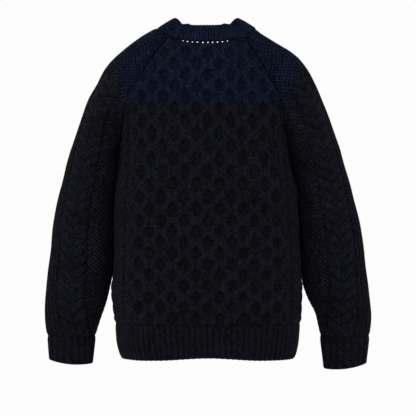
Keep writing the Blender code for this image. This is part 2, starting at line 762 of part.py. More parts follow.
def build_cuff(name, rows, slot):
    """The cuff goes on from the sleeve's last ring and ends as a flattened ring."""
    sign = 1 if name == "left" else -1
    columns = 2 * CUFF_RIBS
    last = rows[-1]
    done = lengths_along(last)
    pick = np.linspace(0, done[-1], columns, endpoint=False)
    top = np.column_stack([np.interp(pick, done, last[:, k]) for k in range(3)])
    (out_x, out_z), (in_x, in_z) = CUFF_END[name]
    turn = 2 * math.pi * pick / done[-1]
    reach = (out_x - in_x) / 2
    end = np.column_stack([
        sign * ((out_x + in_x) / 2 - reach * np.cos(turn)),
        CUFF_FORWARD + 0.002 - CUFF_END_DEPTH * np.sin(turn),
        (out_z + in_z) / 2 - (out_z - in_z) / 2 * np.cos(turn) - CUFF_DROOP * np.sin(turn) ** 2,
    ])
    middle_top, middle_end = top.mean(0), end.mean(0)
    base, outward = [], []
    for share in (0.0, 0.3, 1.0):
        ring_points = top + (end - top) * share
        middle = middle_top + (middle_end - middle_top) * share
        around = np.roll(ring_points, -1, axis=0) - np.roll(ring_points, 1, axis=0)
        down = unit(end - top)
        way = unit(np.cross(around, down))
        way *= np.sign(((ring_points - middle) * way).sum(1, keepdims=True))
        base.append(ring_points + unit(middle_end - middle_top) * SEAM * (1 - share))
        outward.append(way)
    raised = np.array([rib_profile(columns)] * 3)
    raised[0] *= 0.3
    strip("cuff_" + name, np.array(base), np.array(outward), raised, slot, closed=True)


def neck_points(skin, start, stop, front, count):
    """Points along the neckline between two distances from the middle."""
    heights = [(x, neck_height(x, front)) for x in np.linspace(start, stop, count)]
    return skin.at(np.array([(skin.across_at(x, z), z) for x, z in heights]))


def neck_line(back, fronts, tops, sleeve_rings):
    """The collar's seam from the left band round the back to the right band, and its four corners."""
    pieces = [
        neck_points(fronts["left"], BAND_HALF, tops["front_left"], True, 50)[:-1],
        sleeve_rings["left"],
        neck_points(back, tops["back_left"], tops["back_right"], False, 60)[1:-1],
        sleeve_rings["right"][::-1],
        neck_points(fronts["right"], tops["front_right"], -BAND_HALF, True, 50)[1:],
    ]
    counts = np.cumsum([len(p) for p in pieces])
    return np.concatenate(pieces), (counts[0], counts[1] - 1, counts[2], counts[3] - 1)


def build_collar(line, corners, slot):
    done = lengths_along(line)
    ribs = round(done[-1] / COLLAR_RIB)
    pick = np.linspace(2 * SEAM, done[-1] - 2 * SEAM, 2 * ribs + 1)
    for corner in corners:
        pick[np.abs(pick - done[corner]).argmin()] = done[corner]
    foot = np.column_stack([np.interp(pick, done, line[:, k]) for k in range(3)])
    way = np.array([neck_direction(p) for p in foot])
    rise = np.array([collar_rise(p) for p in foot])
    rise = unit(rise - way * (rise * way).sum(1, keepdims=True))
    base = np.array([foot + rise * COLLAR_SEAM, foot + rise * COLLAR_HEIGHT])
    outward = np.array([way] * 2)
    raised = np.array([rib_profile(len(foot)) * 0.6] * 2)
    raised[0] *= 0.5
    strip("collar", base, outward, raised, slot)


def band_line(skin, lift):
    """The centre front from the hem up to the collar's top edge, as (y, z) pairs and outward ways."""
    levels = np.linspace(-0.6655, FRONT_NECK, 15)
    middle = skin.at(np.array([(0.0, z) for z in levels]))
    low = middle[-1] + [0, 0, 0]
    rise = unit(np.array([0.0, 0.42, 0.93]))
    top = low + rise * COLLAR_HEIGHT
    line = np.concatenate([middle, [low + rise * COLLAR_HEIGHT / 2, top]])[:, 1:]
    slope = np.gradient(line, axis=0)
    way = unit(np.column_stack([-slope[:, 1], slope[:, 0]]))
    return line, way


def build_band(name, skin, slot, x_from, x_to, ribs=BAND_RIBS):
    line, way = band_line(skin, 0)
    x = np.linspace(x_from, x_to, 2 * ribs + 1)
    base = np.array([[(a, y, z) for y, z in line] for a in x]).transpose(1, 0, 2)
    outward = np.array([[(0.0, wy, wz)] * len(x) for wy, wz in way])
    raised = np.array([rib_profile(len(x)) * 0.5] * len(line))
    strip(name, base, outward, raised, slot, curved=True)
    return line, way


def build_button(number, place, way, slot):
    """A turned disc with a raised rim and a dished middle."""
    profile = [(0.0, -0.0015), (0.0055, -0.0013), (0.0085, 0.0), (BUTTON_RADIUS, -0.0012),
               (BUTTON_RADIUS, -0.0032), (0.0080, -0.0045), (0.0, -0.0045)]
    work = bmesh.new()
    ring_verts = [work.verts.new((r, 0, z)) for r, z in profile]
    edges = [work.edges.new(pair) for pair in zip(ring_verts[:-1], ring_verts[1:])]
    bmesh.ops.spin(work, geom=ring_verts + edges, axis=(0, 0, 1), cent=(0, 0, 0), angle=2 * math.pi, steps=12)
    bmesh.ops.remove_doubles(work, verts=work.verts, dist=1e-6)
    bmesh.ops.recalc_face_normals(work, faces=work.faces)
    mesh = bpy.data.meshes.new(f"button_{number}")
    work.to_mesh(mesh)
    work.free()
    mesh.materials.append(slot)
    made = bpy.data.objects.new(f"button_{number}", mesh)
    made.rotation_mode = "QUATERNION"
    made.rotation_quaternion = Vector((0, 0, 1)).rotation_difference(Vector(way))
    made.location = place
    bpy.context.scene.collection.objects.link(made)


def main():
    clear_scene()
    black = material("black_wool", 0.95)
    navy = material("navy_wool", 0.95)
    horn = material("button_horn", 0.35)
    back, plain_front = body_skin(False), body_skin(True)
    fronts = {"left": near_band(plain_front, BAND_LIFT), "right": near_band(plain_front, -BAND_LIFT)}
    back_seams, front_seams, sleeves = {}, {}, {}
    back_ways, front_ways, neck_rings = {}, {}, {}
    for name, sign in (("left", 1), ("right", -1)):
        back_seams[name] = raglan(back, sign, False)
        front_seams[name] = raglan(fronts[name], sign, True)
        skin, underarm, rows = sleeve_skin(name, back_seams[name][1], front_seams[name][1])
        levels = RAGLAN_STATIONS * underarm
        sleeves[name] = (skin, underarm, rows)
        neck_rings[name] = rows[0]
        back_ways[name] = seam_directions(back_seams[name][0], back, back_seams[name][1], skin, levels, 1)
        front_ways[name] = seam_directions(
            front_seams[name][0], fronts[name], front_seams[name][1], skin, levels, 0)
    build_back(back, back_seams, back_ways, black)
    for name in ("left", "right"):
        build_front(name, fronts[name], front_seams[name], front_ways[name], black)
        skin, underarm, rows = sleeves[name]
        build_sleeve(name, skin, underarm, back_ways[name], front_ways[name], black)
        build_cuff(name, rows, black)
    build_hems(back, fronts, black)
    tops = {"back_" + n: seam[1][0, 0] for n, seam in back_seams.items()}
    tops |= {"front_" + n: seam[1][0, 0] for n, seam in front_seams.items()}
    build_collar(*neck_line(back, fronts, tops, neck_rings), navy)
    edge = BAND_HALF - SEAM / 2
    build_band("band_right", fronts["right"], black, -edge, edge)
    line, way = build_band("band_left", fronts["left"], black, -edge, edge)
    lift = RIB_HEIGHT * 0.5 + 0.0045 + SEAM
    for number, height in enumerate(BUTTON_HEIGHTS, 1):
        y = np.interp(height, line[:, 1], line[:, 0])
        direction = unit(np.array([0.0] + [np.interp(height, line[:, 1], way[:, k]) for k in (0, 1)]))
        build_button(number, np.array([0.0, y, height]) + direction * lift, direction, horn)


main()
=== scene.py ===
# %% [markdown]
# # A cable-knit cardigan, filled out as if someone wore it
#
# The real one is knitted in thick wool: a honeycomb of crossing cords over the body, plaited cables
# down the sides and sleeves, and ribs at every edge. The yarn changes from navy to black below the
# shoulders. We see it from behind.
#
# The model that this file starts from is a plain version of the same garment, piece for piece. Each
# cell below replaces some of those plain pieces with cloth that has its stitches. Lengths are in
# metres, +Z is up, the front faces -Y, and the wearer's left is +X.

# %% Load the plain model
import math

import bpy
import numpy as np
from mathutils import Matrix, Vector


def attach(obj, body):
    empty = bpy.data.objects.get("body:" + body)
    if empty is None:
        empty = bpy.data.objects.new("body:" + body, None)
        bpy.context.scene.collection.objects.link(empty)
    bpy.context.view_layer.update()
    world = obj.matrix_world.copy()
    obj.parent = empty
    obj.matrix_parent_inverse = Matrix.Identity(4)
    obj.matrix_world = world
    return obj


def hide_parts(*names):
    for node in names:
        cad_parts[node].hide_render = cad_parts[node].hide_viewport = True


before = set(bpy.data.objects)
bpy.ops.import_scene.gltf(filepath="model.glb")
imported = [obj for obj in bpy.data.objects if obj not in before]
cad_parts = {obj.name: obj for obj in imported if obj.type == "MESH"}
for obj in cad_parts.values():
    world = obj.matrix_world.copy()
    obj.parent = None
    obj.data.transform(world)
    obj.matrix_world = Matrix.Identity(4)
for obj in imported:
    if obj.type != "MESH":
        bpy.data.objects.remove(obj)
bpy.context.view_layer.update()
MM = 0.001
print("plain model:", len(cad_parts), "pieces")

# %% [markdown]
# ## The garment's shape
#
# The body is described as a knitter would measure it: how wide and how deep it is at each height.
# Most numbers are the ones the plain model uses, so that the new cloth lies where the plain cloth
# lay. At the neck and shoulders they follow the photograph more closely, by up to about 1 cm.
# Between two heights we go smoothly from one row of numbers to the next.

# %% Sizes and tables
WALL = 4.0 * MM
SEAM = 0.3 * MM
CLEAR = 1.0 * MM
ROUNDING = 2.4
UNDERARM, HEM_SEAM = -0.246, -0.590
BACK_NECK, FRONT_NECK = -0.008, -0.088
NECK_SHIFT = 0.004
BAND_HALF = 0.016
BAND_LIFT = 3.0 * MM
BAND_BLEND = 0.045

BODY = np.array([
    # height, left, right, back seam, front seam, back, front
    (30, 66, 59, 26, 30, 46, 46),
    (11, 82, 74, 36, 44, 58, 56),
    (-6, 90, 82, 45, 50, 67, 66),
    (-19, 101, 89, 53, 56, 76, 72),
    (-44, 118, 105, 65, 66, 90, 82),
    (-82, 143, 127, 77, 74, 106, 94),
    (-130, 169, 150, 78, 76, 119, 112),
    (-155, 173, 154, 71, 69, 123, 118),
    (-180, 177, 158, 58, 58, 126, 122),
    (-208, 180, 162, 43, 43, 129, 126),
    (-228, 182, 165, 29, 29, 130, 127),
    (-240, 183.5, 167, 15, 15, 131, 128),
    (-246, 184, 168, 0, 0, 131, 128),
    (-281, 187, 176, 0, 0, 132, 128),
    (-313, 193, 184, 0, 0, 132, 128),
    (-355, 195, 186, 0, 0, 131, 127),
    (-418, 194, 190, 0, 0, 130, 126),
    (-481, 197, 193, 0, 0, 131, 126),
    (-523, 202, 196, 0, 0, 131, 126),
    (-556, 198, 195, 0, 0, 128, 123),
    (-590, 193, 192, 0, 0, 124, 118),
    (-607, 192, 190.5, 0, 0, 122, 116),
    (-640, 188, 187, 0, 0, 119, 113),
    (-656, 183, 183, 0, 0, 116, 110),
    (-672, 174, 174, 0, 0, 111, 106),
], float)[::-1] * MM
HEIGHT, LEFT, RIGHT, BACK_SEAM, FRONT_SEAM, BACK, FRONT = range(7)

OUTER = {  # the sleeve's outer line in the front view: out from the middle, and up
    "left": np.array([
        (105, 23), (124, 13), (150, -4), (182, -28), (199, -44), (217, -68), (229.5, -92),
        (250, -129), (268, -179), (285, -229), (299, -280), (313, -331), (323, -381),
        (331, -456), (339, -519), (341, -594), (337, -620),
    ], float) * MM,
    "right": np.array([
        (98, 23), (107, 14), (134, -3.5), (171.5, -27.5), (190.5, -43), (209.5, -67), (222, -91.5),
        (238, -129), (257, -179), (275, -229), (290, -280), (304, -331), (317, -381),
        (328, -456), (336, -519), (342, -594), (339, -620),
    ], float) * MM,
}
INNER = {
    "left": np.array([
        (185, -246), (188, -281), (194, -313), (196, -355), (195, -418), (199, -481),
        (207, -518), (213, -544), (224, -575), (232, -600), (239, -620),
    ], float) * MM,
    "right": np.array([
        (169, -246), (177, -281), (185, -313), (187, -355), (191, -418), (196, -481),
        (202, -518), (212, -544), (227, -575), (233, -600), (238, -620),
    ], float) * MM,
}
UNDERARM_ROW = 9  # row of OUTER across the arm from the underarm
SLEEVE_DEPTH = np.array([
    (0.0, 0.047), (0.3, 0.062), (0.6, 0.078), (1.0, 0.070), (1.3, 0.062),
    (1.6, 0.055), (1.8, 0.046), (1.93, 0.034), (2.0, 0.029),
])
NECK_SIDE_DEPTH, CUFF_FORWARD = -0.012, -0.022
print("body widths at", len(BODY), "heights")


# %% Small helpers for curves
def unit(vectors):
    return vectors / np.maximum(np.linalg.norm(vectors, axis=-1, keepdims=True), 1e-12)


def smoothstep(t):
    t = np.clip(t, 0, 1)
    return t * t * (3 - 2 * t)


def smooth_table(table, key):
    """A curve through a table's rows with rounded turns."""
    keys = table[:, 0]
    slopes = np.gradient(table, keys, axis=0)
    i = np.clip(np.searchsorted(keys, key) - 1, 0, len(keys) - 2)
    step = (keys[i + 1] - keys[i])[..., None]
    t = np.clip((key - keys[i]) / (keys[i + 1] - keys[i]), 0, 1)[..., None]
    return (
        (2 * t**3 - 3 * t**2 + 1) * table[i]
        + (t**3 - 2 * t**2 + t) * step * slopes[i]
        + (3 * t**2 - 2 * t**3) * table[i + 1]
        + (t**3 - t**2) * step * slopes[i + 1]
    )


def lengths_along(points):
    return np.concatenate([[0], np.cumsum(np.linalg.norm(np.diff(points, axis=0), axis=1))])


def along_line(points, shares):
    done = lengths_along(points)
    return smooth_table(np.column_stack([done / done[-1], points]), np.asarray(shares, float))[:, 1:]


# %% [markdown]
# ## A skin to knit on
#
# A skin is the smooth outer face of a panel. We ask it for the point that lies so far across the
# panel and so far up it, as a tape measure laid on the cloth would. Every stitch is placed with that.

# %% The skin
class Skin:
    SHARES = np.linspace(-1, 1, 481)

    def __init__(self, levels, rows, middle, facing):
        self.levels, self.facing = np.asarray(levels), facing
        done = np.cumsum(np.linalg.norm(np.diff(rows, axis=1), axis=2), axis=1)
        across = np.concatenate([np.zeros((len(rows), 1)), done], axis=1)
        across -= across[:, middle : middle + 1]
        self.reach = np.column_stack([-across[:, 0], across[:, -1]])
        self.rows = np.empty((len(rows), len(self.SHARES), 3))
        for i, row in enumerate(rows):
            u = self.SHARES * np.where(self.SHARES < 0, self.reach[i, 0], self.reach[i, 1])
            for axis in range(3):
                self.rows[i, :, axis] = np.interp(u, across[i], row[:, axis])

    def levels_near(self, v):
        i = np.clip(np.searchsorted(self.levels, v) - 1, 0, len(self.levels) - 2)
        t = (v - self.levels[i]) / (self.levels[i + 1] - self.levels[i])
        return i, t

    def ends(self, v):
        """How far the panel reaches to its two sides at a level."""
        i, t = self.levels_near(v)
        t = np.asarray(t)[..., None]
        reach = self.reach[i] * (1 - t) + self.reach[i + 1] * t
        return -reach[..., 0], reach[..., 1]

    def at(self, u, v):
        u, v = np.broadcast_arrays(np.asarray(u, float), np.asarray(v, float))
        i, t = self.levels_near(v)
        found = 0
        for j, weight in ((i, 1 - t), (i + 1, t)):
            reach = np.where(u < 0, self.reach[j, 0], self.reach[j, 1])
            place = (np.clip(u / np.maximum(reach, 1e-6), -1.05, 1.05) + 1) * 240
            k = np.clip(np.floor(place).astype(int), 0, 479)
            part = (place - k)[..., None]
            found = found + weight[..., None] * (self.rows[j, k] * (1 - part) + self.rows[j, k + 1] * part)
        return found

    def normals(self, u, v, step=2.5 * MM):
        sideways = self.at(u + step, v) - self.at(u - step, v)
        upward = self.at(u, v + step) - self.at(u, v - step)
        return self.facing * unit(np.cross(sideways, upward))

    def across_at(self, x, level):
        """How far across the panel a distance from the middle plane lies, at one level."""
        i, t = self.levels_near(level)
        row = self.rows[i] * (1 - t) + self.rows[i + 1] * t
        share = np.interp(x, row[:, 0], self.SHARES)
        low, high = self.ends(level)
        return share * np.where(share < 0, -low, high)


# %% The body's front and back
def body_row(height, front):
    row = smooth_table(BODY, np.array([height]))[0]
    seam, depth, sign = (row[FRONT_SEAM], row[FRONT], -1) if front else (row[BACK_SEAM], row[BACK], 1)
    inward = min(abs(seam) / depth, 0.98)
    turn = np.linspace(0, math.pi / 2, 121)
    power = 2 / ROUNDING
    halves = []
    for side in (LEFT, RIGHT):
        reach = row[side] - CLEAR * smoothstep((UNDERARM - height) / 0.02)
        widest = reach / (1 - inward**ROUNDING) ** (1 / ROUNDING)
        halves.append((widest * np.sin(turn) ** power, depth * np.cos(turn).clip(0) ** power))
    x = np.concatenate([-halves[1][0][:0:-1], halves[0][0]])
    y = np.concatenate([halves[1][1][:0:-1], halves[0][1]])
    return np.column_stack([x, sign * y, np.full(len(x), height)])


def body_rows(front):
    levels = np.linspace(-0.672, 0.030, 236)
    return levels, np.array([body_row(level, front) for level in levels])


def near_band(levels, rows, lift):
    """The front's skin, raised a little towards its button band."""
    rows = rows.copy()
    rows[:, :, 1] -= lift * (1 - smoothstep((np.abs(rows[:, :, 0]) - BAND_HALF) / BAND_BLEND))
    return Skin(levels, rows, 120, 1)


levels, rows = body_rows(front=False)
back_skin = Skin(levels, rows, 120, -1)
levels, rows = body_rows(front=True)
front_skins = {"left": near_band(levels, rows, BAND_LIFT), "right": near_band(levels, rows, -BAND_LIFT)}
round_chest = float(np.sum(back_skin.reach[140]) + np.sum(front_skins["left"].reach[140]))
print("round the chest:", round(round_chest, 3), "m")


# %% [markdown]
# ## Where the sleeves are sewn on
#
# A raglan sleeve reaches the neck, so its seams run aslant from the neck to the underarm. Each seam
# lies on the body's skin, and the sleeve's rings start and end on it. Below the underarm each ring
# closes and the sleeve is a tube.

# %% Neckline, raglan seams and sleeves
def neck_height(x, front):
    low, half, rise = (FRONT_NECK, 0.088, 0.080) if front else (BACK_NECK, 0.078, 0.0135)
    return low + rise * (np.abs(x - NECK_SHIFT) / half) ** 2.2


def seam_side(height, sign):
    return sign * smooth_table(BODY, np.array([height]))[0][LEFT if sign > 0 else RIGHT]


def raglan(skin, sign, front):
    """The seam from the neck to the underarm: its (across, height) places at even steps."""
    top = 0.0
    for _ in range(60):
        top += 0.5 * (neck_height(seam_side(top, sign), front) - top)
    heights = top + (UNDERARM - top) * np.sin(np.linspace(0, math.pi / 2, 160)) ** 1.2
    places = np.array([(skin.across_at(seam_side(h, sign), h), h) for h in heights])
    done = lengths_along(skin.at(places[:, 0], places[:, 1]))
    even = np.linspace(0, done[-1], 101)
    return np.column_stack([np.interp(even, done, places[:, k]) for k in (0, 1)])


def ring(outer, back, front, depth, count=61):
    """Half-turns from the sleeve's outer line to the back and the front seam, in one row."""
    middle = (back + front) / 2
    out = unit(outer - middle)
    spread = back - front
    chord = np.linalg.norm(spread - out * (spread @ out)) / 2
    side = np.array([0.0, 1.0, 0.0]) if chord < 1e-6 else spread
    side = unit(side - out * (side @ out))
    depth = max(depth, chord * 1.02)
    reach = np.linalg.norm(outer - middle) / (1 + math.sqrt(1 - (chord / depth) ** 2))
    last = math.pi - math.asin(chord / depth)
    turn = np.linspace(0, last, count)
    halves = []
    for sign, end in ((-1, front), (1, back)):
        line = outer - reach * out + np.outer(reach * np.cos(turn), out)
        line = line + np.outer(sign * depth * np.sin(turn), side)
        halves.append(line + np.outer((turn / last) ** 2, end - line[-1]))
    return np.concatenate([halves[0][:0:-1], halves[1]])


def sleeve(name, back_seam, front_seam):
    sign = 1 if name == "left" else -1
    upper, lower = np.linspace(0, 1, 101), np.linspace(0, 1, 141)[1:]
    line = OUTER[name]
    above, below = line[: UNDERARM_ROW + 1], line[UNDERARM_ROW:]
    outer = np.concatenate([along_line(above, upper), along_line(below, lower)])
    inner = along_line(INNER[name], lower)
    shares = np.concatenate([upper, 1 + lower])
    depths = smooth_table(SLEEVE_DEPTH, shares)[:, 1]
    middles = np.interp(shares, (0, 1, 2), (NECK_SIDE_DEPTH, -0.002, CUFF_FORWARD))
    rows = []
    for n, share in enumerate(shares):
        out = np.array([sign * outer[n, 0], middles[n], outer[n, 1]])
        if share <= 1:
            back, front = back_seam[n], front_seam[n]
        else:
            x, z = inner[n - len(upper)]
            back = front = np.array([sign * x, middles[n] * smoothstep((share - 1) / 0.3), z])
        rows.append(ring(out, back, front, depths[n]))
    rows = np.array(rows)
    levels = lengths_along(rows[:, 60])
    return Skin(levels, rows, 60, -sign), levels[len(upper) - 1], rows


SIGNS = {"left": 1, "right": -1}
back_seams = {n: raglan(back_skin, s, False) for n, s in SIGNS.items()}
front_seams = {n: raglan(front_skins[n], s, True) for n, s in SIGNS.items()}
sleeve_skins, underarms, sleeve_rings = {}, {}, {}
for name in SIGNS:
    back_line = back_skin.at(*back_seams[name].T)
    front_line = front_skins[name].at(*front_seams[name].T)
    sleeve_skins[name], underarms[name], sleeve_rings[name] = sleeve(name, back_line, front_line)
    print(name, "sleeve:", round(float(sleeve_skins[name].levels[-1]), 3), "m down its outer line")

# %% [markdown]
# ## Stitches that stand up
#
# Honeycomb cables are cords two stitches wide. Neighbouring cords sway towards each other, cross,
# and sway apart again, so they frame a small sunken cell. The plaits at the sides are strokes that
# lean down to a middle line. We write each as a height over a place on the panel and move the skin's
# points out by it. Mesh suits this, because the cords throw shadows and show at the outline.

# %% Heights of cords, plaits and ribs
STITCH, ROW = 5.65 * MM, 4.3 * MM
CELL = 0.0452
CORD_SWAY, CORD_HALF, CORD_HEIGHT = 5.7 * MM, 8.0 * MM, 4.8 * MM
CORDS_EACH_SIDE = 7
SIDE_CABLE, SLEEVE_CABLE, SLEEVE_CABLE_TOP = 0.203, 0.080, 0.150
CABLE_HALF, CABLE_PITCH, CABLE_RISE, CABLE_HEIGHT = 0.029, 0.0236, 0.023, 4.8 * MM
SLEEVE_RIB, SLEEVE_RIBS_EACH_SIDE, RIB_HEIGHT = 0.0106, 4, 2.8 * MM
CELL_ROWS = np.array([(-0.680, 13.9), (-0.532, 10.5), (-0.355, 6.5), (-0.149, 2.5), (0.030, -1.4)])


def rounded(q):
    """A cord's round back: 1 on its middle line, 0 at its sides."""
    return np.sqrt(np.clip(1 - q * q, 0, 1))


def spread_scale(level):
    return np.interp(level, (-0.60, -0.40, -0.15), (0.94, 0.94, 1.0))


def cell_row(height):
    return np.interp(height, CELL_ROWS[:, 0], CELL_ROWS[:, 1])


def honeycomb(x, height):
    """Height of the cords, and how far the cloth's columns sway sideways there."""
    turn = np.cos(2 * math.pi * cell_row(height))
    turn = np.tanh(1.6 * turn) / math.tanh(1.6)
    high = np.zeros_like(x)
    for number in range(-CORDS_EACH_SIDE, CORDS_EACH_SIDE):
        sway = CORD_SWAY * turn * (1 if number % 2 == 0 else -1)
        away = (x - (number + 0.5) * CELL / 2 - sway) / CORD_HALF
        high = np.maximum(high, CORD_HEIGHT * rounded(away))
    wave = np.abs((x / (CELL / 2) - 0.5) % 2 - 1) * 2 - 1
    return high, CORD_SWAY * turn * wave


def plait(x, up):
    """V strokes that point down: their height, and the stitch columns along each stroke."""
    q = np.clip(np.abs(x) / CABLE_HALF, 0, 1)
    phase = (up - CABLE_RISE * q**0.85) / CABLE_PITCH
    across = np.abs(phase % 1 * 2 - 1)
    high = CABLE_HEIGHT * rounded(across**1.3) * rounded(q**3)
    high *= 1 - 0.35 * np.exp(-((x / (3 * MM)) ** 2))
    return np.where(q < 1, high, 0), phase * 4, x / ROW


def rib_ridges(x, pitch, sharp=0.75):
    """Rounded ribs with a narrow valley between them: 0 to 1."""
    return np.abs(np.cos(math.pi * x / pitch)) ** sharp


def unevenness(x, up, seed):
    """The slow lumps of a knitted cloth that has been worn: up to about 1 mm."""
    waves = ((71, 23, 0.3), (-38, 57, 1.9), (19, -44, 4.1), (52, 88, 2.7), (-96, 31, 5.2))
    return sum(np.sin(a * x + b * up + c + 1.7 * seed) for a, b, c in waves) * 0.22 * MM


def moss(x, up):
    """Knit and purl in turn, like a chessboard."""
    return 0.65 * MM * np.cos(math.pi * x / STITCH) * np.cos(math.pi * up / ROW)


print("honeycomb cells:", round(CELL / MM, 1), "mm wide; stitches", round(STITCH / MM, 2), "mm")

# %% [markdown]
# ## From heights to a piece of cloth
#
# Every knitted piece is a grid of points with an outer and an inner face. At its edges both faces
# curve in until they meet, as thick knitting does. The points near an edge lie closer together for
# that. The inner face is plain and hardly seen, so it takes every third point only.

# %% A grid with two faces
LIP = WALL / 2


def spaced(length, step, low=True, high=True):
    """Shares of a length at about even steps, with a few close ones at its ends."""
    close = np.array([0, 0.35, 0.9, 1.8]) * MM
    count = max(4, round(length / step))
    inner = np.linspace(close[-1] if low else 0, length - (close[-1] if high else 0), count)
    parts = [close[:-1]] if low else []
    parts.append(inner)
    if high:
        parts.append(length - close[:-1][::-1])
    return np.concatenate(parts) / length


def lip(distance):
    """How far a face has curved in, at a distance from the cloth's edge."""
    inside = np.clip(distance / LIP, 0, 1)
    return LIP * (1 - np.sqrt(np.clip(1 - (1 - inside) ** 2, 0, 1))) * 0.94


def join_lip(distance):
    """The same at a join with a rib, where the knitting goes on."""
    return 0.3 * lip(distance)


def picks(count, step=3):
    kept = list(range(0, count, step))
    return np.array(kept if kept[-1] == count - 1 else kept + [count - 1])


def grid_faces(rows, columns, closed):
    wide = columns if closed else columns - 1
    i, j = np.meshgrid(np.arange(rows - 1), np.arange(wide), indexing="ij")
    k = (j + 1) % columns
    here, above = i * columns, (i + 1) * columns
    return np.stack([here + j, here + k, above + k, above + j], -1).reshape(-1, 4)


def rim(outer, inner, flip):
    """Faces between an outer edge and an inner one that has fewer points."""
    faces, start = [], 0
    for a, b in zip(inner[:-1], inner[1:]):
        stop = b[0]
        face = [outer[n] for n in range(start, stop + 1)] + [b[1], a[1]]
        faces.append(face[::-1] if flip else face)
        start = stop
    return faces


def cloth(name, outer, inner, stitches, facts, closed=False, joined_from=None):
    """Makes the piece. Its rows from joined_from on are a tube, whose first and last points are one."""
    rows, columns = outer.shape[:2]
    across = np.arange(0, columns, 3) if closed else picks(columns)
    up = picks(rows)
    if joined_from is not None:
        up = np.unique(np.append(up, joined_from))
    small = inner[np.ix_(up, across)]
    wide, shift = len(across), rows * columns
    points = np.concatenate([outer.reshape(-1, 3), small.reshape(-1, 3)])
    faces = grid_faces(rows, columns, closed).tolist()
    faces += (grid_faces(len(up), wide, closed)[:, ::-1] + shift).tolist()
    edge_columns = list(across) + ([columns] if closed else [])
    for row, small_row, flip in ((0, 0, True), (rows - 1, len(up) - 1, False)):
        outer_edge = [row * columns + c % columns for c in range(columns + closed)]
        inner_edge = [(c, shift + small_row * wide + n % wide) for n, c in enumerate(edge_columns)]
        faces += rim(outer_edge, inner_edge, flip)
    if not closed:
        last = rows - 1 if joined_from is None else joined_from
        for column, small_column, flip in ((0, 0, False), (columns - 1, wide - 1, True)):
            outer_edge = [r * columns + column for r in range(rows)]
            inner_edge = [(r, shift + n * wide + small_column) for n, r in enumerate(up) if r <= last]
            faces += rim(outer_edge, inner_edge, flip)
    if joined_from is not None:
        same = {r * columns + columns - 1: r * columns for r in range(joined_from, rows)}
        same |= {shift + n * wide + wide - 1: shift + n * wide for n, r in enumerate(up) if r >= joined_from}
        faces = [[same.get(i, i) for i in face] for face in faces]
    middle = (rows // 2) * columns + columns // 2
    normal = np.cross(points[middle + 1] - points[middle], points[middle + columns] - points[middle])
    if normal @ (outer - inner)[rows // 2, columns // 2] < 0:
        faces = [face[::-1] for face in faces]
    mesh = bpy.data.meshes.new(name)
    mesh.from_pydata(points.tolist(), [], faces)
    uv = np.concatenate([stitches.reshape(-1, 2), stitches[np.ix_(up, across)].reshape(-1, 2)])
    corners = np.zeros(len(mesh.loops), int)
    mesh.loops.foreach_get("vertex_index", corners)
    layer = mesh.uv_layers.new(name="stitches")
    layer.data.foreach_set("uv", uv[corners].astype(np.float32).ravel())
    for fact, values in facts.items():
        both = np.concatenate([values.ravel(), values[np.ix_(up, across)].ravel()])
        mesh.attributes.new(fact, "FLOAT", "POINT").data.foreach_set("value", both.astype(np.float32))
    mesh.polygons.foreach_set("use_smooth", [True] * len(mesh.polygons))
    made = bpy.data.objects.new(name, mesh)
    bpy.context.scene.collection.objects.link(made)
    print(name, "has", sum(len(f) - 2 for f in faces), "triangles")
    return made

# %% [markdown]
# ## The body's three panels
#
# The back and the two fronts share one recipe. Rows run level from the rib up, and bend near the
# top so that the last row follows the neckline. Along a raglan seam both panels' walls point the
# same way, or they would cut into each other inside the seam.

# %% Which way the walls point along a seam
NAVY_LINE = np.array([(0.0, -0.1405), (0.046, -0.1405), (0.060, -0.1340), (0.157, -0.1325), (0.168, -0.117),
                      (0.174, -0.096), (0.184, -0.0815), (0.1925, -0.061), (0.205, -0.049), (0.230, -0.044)])


def neck_direction(points):
    """The cloth's outward direction where the collar is sewn on."""
    x, y = (points[..., 0] - NECK_SHIFT) / 0.102, (points[..., 1] + 0.012) / 0.078
    size = np.maximum(np.hypot(x, y), 1e-9)
    x, y = x / size, y / size
    spread = smoothstep((np.abs(x) - 0.1) / 0.6)
    return unit(np.stack([0.50 * x * spread, 0.87 * y, 0.50 + 0.38 * x * x], -1))


def seam_ways(places, body, sleeve_skin, underarm, end):
    """Down a raglan seam, the direction that both walls share."""
    seam = body.at(*places.T)
    count = len(places)
    tangents = unit(np.gradient(seam, axis=0))
    step = 3 * MM
    levels = np.linspace(0, underarm, count)
    near = sleeve_skin.ends(levels)[end]
    body_at = (places[:, 0] - np.sign(places[:, 0]) * step, places[:, 1])
    sleeve_at = (near - np.sign(near) * step, levels)
    ways = []
    for skin, place in ((body, body_at), (sleeve_skin, sleeve_at)):
        way = skin.at(*place) - seam
        ways.append(unit(way - tangents * (way * tangents).sum(1, keepdims=True)))
    normals = [body.normals(*body_at), sleeve_skin.normals(*sleeve_at)]
    fold = np.arctan2((normals[0] * ways[1]).sum(1), (ways[0] * ways[1]).sum(1))
    half = np.where(fold < -0.5, fold + 2 * math.pi, fold)[:, None] / 2
    found = unit((normals[0] + normals[1]) * np.sin(half) + (ways[0] + ways[1]) * np.cos(half))
    found[-1] = (0, 0, -1)
    share = smoothstep(np.arange(count) / 16)[:, None]
    return unit(neck_direction(seam) * (1 - share) + found * share)


back_ways, front_ways = {}, {}
for name in SIGNS:
    rest = (sleeve_skins[name], underarms[name])
    back_ways[name] = seam_ways(back_seams[name], back_skin, *rest, 1)
    front_ways[name] = seam_ways(front_seams[name], front_skins[name], *rest, 0)


def above_navy_line(points):
    """Height over the line where the yarn changes colour."""
    return points[..., 2] - np.interp(np.abs(points[..., 0]), *NAVY_LINE.T)


